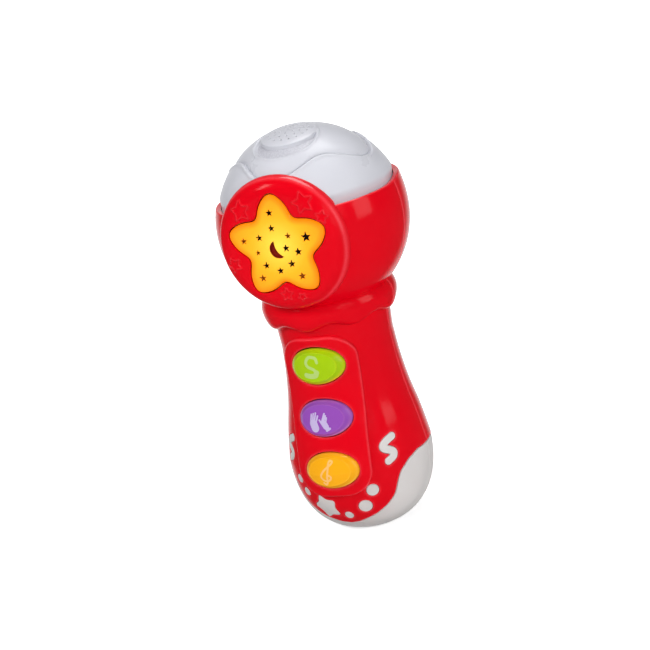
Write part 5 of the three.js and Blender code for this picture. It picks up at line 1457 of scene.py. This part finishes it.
# The floor of the hollow is painted darker, as shade, under the mesh pattern.
in_shaded_mesh = (recess_distance(middle) < -0.9) & (grille_reach(middle) > DISC_OUTER)
points, all_tris, _, wear_and_sheen = wall_part(outer, inner, tris, wear_and_sheen_of(places, dome_borders, 0.8))
finish = np.concatenate([in_shaded_mesh.astype(int), np.zeros(len(all_tris) - len(tris), int)])
dome_mesh_and_shade = patterned("white mesh plastic with painted shade", (0.55, 0.55, 0.60), (0.44, 0.44, 0.49), "ShaderNodeTexVoronoi",
                      {"Scale": 1300.0}, rough=0.36, share=0.7)
add_piece("white_dome", [(points, all_tris, finish, wear_and_sheen)], [dome_plastic, dome_mesh_and_shade], nodes=["dome"],
          sharp=55)

# %% [markdown]
# ## Battery door
# The piece of skin over the batteries, held by a tab above and a screw below. It uses the same skin formula as the
# shell round it, so it lies flush, and it rides on its own body because it swings open.

# %% Door
SCREW_HOLE, RIB_HEIGHTS, RIB_HALF, RIB_RISE, RIB_REACH = 2.7, (40.0, 42.4, 44.8), 0.75, 0.5, 7.0
DOOR_WALL = 2.0
door_borders = [(of_skin(lambda place: slab_at(place, DOOR_HALF, DOOR_BOTTOM, DOOR_TOP, 1.0)), 0.3),
                (of_skin(round_hole(0, DOOR_SCREW_HEIGHT, SCREW_HOLE)), 0.3)]
door_rows = np.arange(run_of(27.0), run_of(88.0), 0.7)
places, tris = grid_sheet(np.radians(np.linspace(150, 210, 70)), door_rows)
places, tris = carve(places, tris, door_borders)
door_place = skin(places[:, 0], places[:, 1])
rib = np.max([np.clip(1 - ((door_place[:, 2] - at) / RIB_HALF) ** 2, 0, 1) for at in RIB_HEIGHTS], axis=0)
rib = RIB_RISE * np.sqrt(rib) * smooth_step(RIB_REACH - np.abs(door_place[:, 0]), 0, 1.2)
outer = skin(places[:, 0], places[:, 1], lip_depth(places, door_borders) - rib)
inner = skin(places[:, 0], places[:, 1], np.full(len(places), DOOR_WALL))
boss = turned([(SCREW_HOLE, -29.3), (SCREW_HOLE, -27.88), (1.3, -27.88), (1.3, -25.9), (3.9, -25.9), (3.9, -29.0)],
              48, "y", (0, 0, DOOR_SCREW_HEIGHT))
tab = [soft_box((-5, 18.4, 84.3), (5, 19.85, 90.0)), soft_box((-5, 18.6, 84.3), (5, 21.4, 86.2))]
add_piece("red_door", [wall_part(outer, inner, tris, wear_and_sheen_of(places, door_borders)), (*boss, 0)]
          + [(*part, 0) for part in tab], [red_plastic], body="door", nodes=["battery_door"])

# %% [markdown]
# ## Power switch knob
# A small black slider with ridges for the fingernail. The ridges are a cosine along its length, so they are real
# geometry on a fine grid and not a bump.

# %% Switch knob
KNOB_WIDE, KNOB_HIGH, KNOB_TOP, KNOB_ROOT, KNOB_RIDGE, RIDGE_PITCH = 2.6, 2.2, 37.25, 33.9, 0.28, 1.3
knob_border = [(lambda p: slab_distance(p[:, 0], p[:, 1], KNOB_WIDE, -KNOB_HIGH, KNOB_HIGH, 0.5), 0.35)]
places, tris = grid_sheet(np.arange(-2.7, 2.71, 0.1), np.arange(-2.3, 2.31, 0.2))
places, tris = carve(places, tris, knob_border)
ridge = KNOB_RIDGE * np.abs(np.cos(places[:, 0] * np.pi / RIDGE_PITCH)) ** 0.7
across, height = places[:, 0], places[:, 1] + SWITCH_HEIGHT
outer = np.stack([across, KNOB_TOP + ridge - lip_depth(places, knob_border), height], 1)
inner = np.stack([across, np.full(len(places), KNOB_ROOT), height], 1)
black_plastic = plastic("black plastic", (0.025, 0.025, 0.028), rough=0.42, bump=0.08, grain=2200)
add_piece("black_knob", [wall_part(outer, inner, tris, wear_and_sheen_of(places, knob_border, 0.6))], [black_plastic],
          body="switch", nodes=["switch_knob"])

# %% [markdown]
# ## Finishes of the pieces inside
# The pieces inside keep the CAD's own mesh. Boards have a green mask over copper tracks, cells a printed wrap,
# wires a coloured jacket, and screws and contacts a mottled plated finish. Textures in Object coordinates suit
# them, because these meshes have no UV map.

# %% Wrap of the battery cells
CAN, WRAP, GOLD = (0.6, 0.6, 0.6, 1), (0.03, 0.03, 0.035, 1), (0.75, 0.42, 0.12, 1)
WRAP_FROM, GOLD_FROM, CAN_FROM = 0.03, 0.66, 0.94


def cell_finish(name, low, high):
    """A cell's wrap: dark body, a gold band near one end and a bare can at both ends, by height."""
    material = plastic(name, WRAP[:3], rough=0.3, bump=0.02)
    tree = material.node_tree
    surface = tree.nodes["Principled BSDF"]
    height = shader_node(tree, "ShaderNodeSeparateXYZ", {"Vector": object_place(tree)}).outputs["Z"]
    share = mapped(tree, height, low, high)
    ramp = shader_node(tree, "ShaderNodeValToRGB", {"Fac": share})
    colours = ramp.color_ramp
    colours.interpolation = "CONSTANT"
    colours.elements.new(WRAP_FROM).color = WRAP
    colours.elements.new(GOLD_FROM).color = GOLD
    colours.elements[0].color = CAN
    colours.elements[-1].position, colours.elements[-1].color = CAN_FROM, CAN
    tree.links.new(ramp.outputs["Color"], surface.inputs["Base Color"])
    from_middle = math_of(tree, "ABSOLUTE", math_of(tree, "SUBTRACT", share, (WRAP_FROM + CAN_FROM) / 2))
    bare = math_of(tree, "GREATER_THAN", from_middle, (CAN_FROM - WRAP_FROM) / 2)
    tree.links.new(bare, surface.inputs["Metallic"])
    return material


print("the wrap covers", round(CAN_FROM - WRAP_FROM, 2), "of a cell's height")

# %% [markdown]
# ### One finish for each slot
# The CAD model gives every part a slot, such as screw steel or silicone. A table from slot to finish keeps the
# pieces of one kind alike.

# %% Finishes of the kept pieces
tracks = {"Scale": 260.0, "Mortar Size": 0.012, "Color1": (0, 0, 0, 1), "Color2": (0, 0, 0, 1)}
finishes = {
    "reflector_plastic": plastic("reflector plastic", (0.80, 0.80, 0.78), rough=0.5, bump=0.04),
    "black_plastic": black_plastic,
    "red_plastic": red_plastic,
    "white_plastic": white_plastic,
    "silicone": plastic("silicone", (0.50, 0.52, 0.54), rough=0.55, bump=0.08, grain=500),
    "circuit_board": patterned("circuit board", (0.02, 0.16, 0.05), (0.05, 0.30, 0.11), "ShaderNodeTexBrick",
                               tracks, rough=0.35),
    "screw_steel": patterned("zinc plated steel", (0.60, 0.61, 0.64), (0.42, 0.43, 0.47), "ShaderNodeTexNoise",
                             {"Scale": 1500.0}, rough=0.3, metallic=1.0, share=0.6),
    "plated_contact": patterned("plated contact", (0.66, 0.64, 0.60), (0.46, 0.44, 0.42), "ShaderNodeTexNoise",
                                {"Scale": 900.0}, rough=0.25, metallic=1.0, share=0.6),
    "diode_epoxy": plastic("diode epoxy", (0.85, 0.72, 0.35), rough=0.12, bump=0.01),
    "speaker_paper": patterned("speaker paper", (0.035, 0.033, 0.03), (0.09, 0.085, 0.08), "ShaderNodeTexNoise",
                               {"Scale": 1800.0, "Detail": 4.0}, rough=0.8, share=0.7),
    "magnet": patterned("magnet", (0.36, 0.36, 0.37), (0.22, 0.22, 0.23), "ShaderNodeTexNoise", {"Scale": 700.0},
                        rough=0.35, metallic=1.0, share=0.6),
}
for colour_name, colour in (("red", (0.55, 0.01, 0.01)), ("yellow", (0.80, 0.50, 0.02)),
                            ("black", (0.02, 0.02, 0.02)), ("blue", (0.02, 0.06, 0.45))):
    finishes["wire_" + colour_name] = plastic(colour_name + " wire jacket", colour, rough=0.4, bump=0.06, grain=1800)

print(len(finishes), "finishes")

# %% [markdown]
# ### Giving the finishes out
# A kept piece is never moved or changed. Only the material in its slot is replaced, and each cell gets a wrap that
# is fitted to its own height.

# %% Kept pieces
KEPT = {
    "reflector_plastic": ["light_reflector", "speaker_clamp"],
    "circuit_board": ["light_board", "main_board"],
    "diode_epoxy": ["light_diode"],
    "screw_steel": ["battery_door_screw", "clamp_screw_1", "clamp_screw_2"]
    + [f"board_screw_{i}" for i in range(1, 5)] + [f"shell_screw_{i}" for i in range(1, 7)],
    "plated_contact": ["switch_body", "speaker_basket", "contact_plate_1", "contact_plate_2",
                       "contact_bridge", "contact_spring_1", "contact_spring_2"],
    "silicone": ["keypad"],
    "speaker_paper": ["speaker_cone"],
    "magnet": ["speaker_magnet"],
    "cell_wrap": ["cell_1", "cell_2"],
    "wire_red": ["speaker_wire_1", "speaker_wire_2"],
    "wire_yellow": ["light_wire_1", "light_wire_2"],
    "wire_black": ["switch_wire_1", "switch_wire_2"],
    "wire_blue": ["battery_wire_1", "battery_wire_2"],
}
kept_count = 0
for slot_name, node_names in KEPT.items():
    for node_name in node_names:
        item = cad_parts[node_name]
        finish = finishes.get(slot_name)
        if slot_name == "cell_wrap":
            heights = [vertex.co.z for vertex in item.data.vertices]
            finish = cell_finish(node_name + " wrap", min(heights), max(heights))
        item.data.materials.clear()
        item.data.materials.append(finish)
        kept_count += 1
print(kept_count, "kept CAD pieces with finishes")

# %% [markdown]
# ## Camera
# The camera was fitted to the photograph: the rim circle, the star's disc and the outline of the grip. Three angles
# turn it, and its three axes go straight into a matrix, so no object has to be tracked.

# %% Camera
AZIMUTH, ELEVATION, ROLL = np.radians(26.446), np.radians(16.115), np.radians(11.876)
back = np.array([np.sin(AZIMUTH) * np.cos(ELEVATION), -np.cos(AZIMUTH) * np.cos(ELEVATION), np.sin(ELEVATION)])
side = np.array([np.cos(AZIMUTH), np.sin(AZIMUTH), 0])
up = np.cross(back, side)
AIM_ASIDE, AIM_HEIGHT, CAMERA_REACH, FOCAL_LENGTH = -4.1, 84.83, 900, 122.75
eye = side * AIM_ASIDE + [0, 0, AIM_HEIGHT] + back * CAMERA_REACH
right_side = side * np.cos(ROLL) - up * np.sin(ROLL)
upright = side * np.sin(ROLL) + up * np.cos(ROLL)
camera_data = bpy.data.cameras.new("camera")
camera = link_object("camera", camera_data)
camera_data.sensor_width = 36.0
camera_data.lens = FOCAL_LENGTH
camera_data.clip_start, camera_data.clip_end = 0.05, 50
turn_matrix = Matrix(np.stack([right_side, upright, back], 1).tolist()).to_4x4()
camera.matrix_world = Matrix.Translation(Vector((eye * MM).tolist())) @ turn_matrix
bpy.context.scene.camera = camera
print("camera at", np.round(eye * MM, 3), "m")

# %% [markdown]
# ## Floor
# A pale floor keeps a faint shadow. It glows for the camera only, and a little more farther out, so that it reaches
# white without throwing light on the toy.

# %% Floor
def floor():
    """A very large disc just under the foot, lit enough to reach white."""
    places, tris = disc_sheet([0.1, 0.5, 2, 6, 12], 64)
    mesh = bpy.data.meshes.new("floor")
    mesh.from_pydata(np.concatenate([places, np.zeros((len(places), 1))], 1).tolist(), [], tris.tolist())
    item = link_object("floor", mesh)
    material, tree, surface = new_material("floor")
    surface.inputs["Base Color"].default_value = (0.8, 0.8, 0.8, 1)
    surface.inputs["Roughness"].default_value = 0.9
    surface.inputs["Specular IOR Level"].default_value = 0.0
    seen = shader_node(tree, "ShaderNodeLightPath").outputs["Is Camera Ray"]
    reach = vector_of(tree, "LENGTH", "Value", object_place(tree))
    level = mapped(tree, reach, 0.12, 0.6, 0.66, 1.1, interpolation_type="SMOOTHSTEP")
    surface.inputs["Emission Color"].default_value = (1, 1, 1, 1)
    tree.links.new(math_of(tree, "MULTIPLY", seen, level), surface.inputs["Emission Strength"])
    mesh.materials.append(material)
    item.visible_glossy = False


floor()

# %% [markdown]
# ## Lamps
# Two large soft boxes light the toy from the left and the right, and they are left out of reflections. The other
# three are seen in them, as the highlights on the red plastic.

# %% Lamps
def area_light(name, place, target, size, power):
    """A rectangular soft box that looks at a target, in metres."""
    data = bpy.data.lights.new(name, "AREA")
    data.shape, data.size, data.size_y = "RECTANGLE", size[0], size[1]
    data.energy = power
    item = link_object(name, data)
    item.location = place
    item.rotation_euler = (Vector(target) - Vector(place)).to_track_quat("-Z", "Y").to_euler()
    return item


key = area_light("key", (-0.9, -1.2, 1.35), (0, 0, 0.09), (0.7, 0.7), 22)
fill = area_light("fill", (1.15, -1.0, 0.55), (0, 0, 0.11), (0.8, 0.8), 15)
for lamp in (key, fill):
    lamp.visible_glossy = False
area_light("top softbox", (0.15, 0.35, 1.25), (0, 0, 0.12), (0.8, 0.5), 7)
area_light("side softbox", (1.25, -0.05, 0.45), (0, 0, 0.12), (0.5, 0.8), 1.6)
area_light("front strip", (-0.75, -1.0, 1.0), (0, 0, 0.09), (0.16, 0.5), 0.8)
print(len(bpy.data.lights), "lamps")

# %% [markdown]
# ## Surround
# The camera sees plain white. For light and reflections the surround is bright only in a wide cone beyond the toy,
# as with a lit backdrop, and dim elsewhere, so that highlights on the red stay small.

# %% Surround
world = bpy.data.worlds.new("studio")
bpy.context.scene.world = world
world.use_nodes = True
tree = world.node_tree
background = tree.nodes["Background"].inputs
background["Color"].default_value = (1, 1, 1, 1)
ray = shader_node(tree, "ShaderNodeTexCoord").outputs["Generated"]
along_view = vector_of(tree, "DOT_PRODUCT", "Value", ray, back.tolist())
around = mapped(tree, along_view, -0.97, -0.72, 0.9, 0.07, interpolation_type="SMOOTHSTEP")
seen = shader_node(tree, "ShaderNodeLightPath").outputs["Is Camera Ray"]
glow = shader_node(tree, "ShaderNodeMix", {0: seen, 2: around, 3: 1.05}, data_type="FLOAT")
tree.links.new(glow.outputs[0], background["Strength"])
bpy.context.scene.view_settings.view_transform = "Standard"
print("surround with", len(tree.nodes), "nodes")
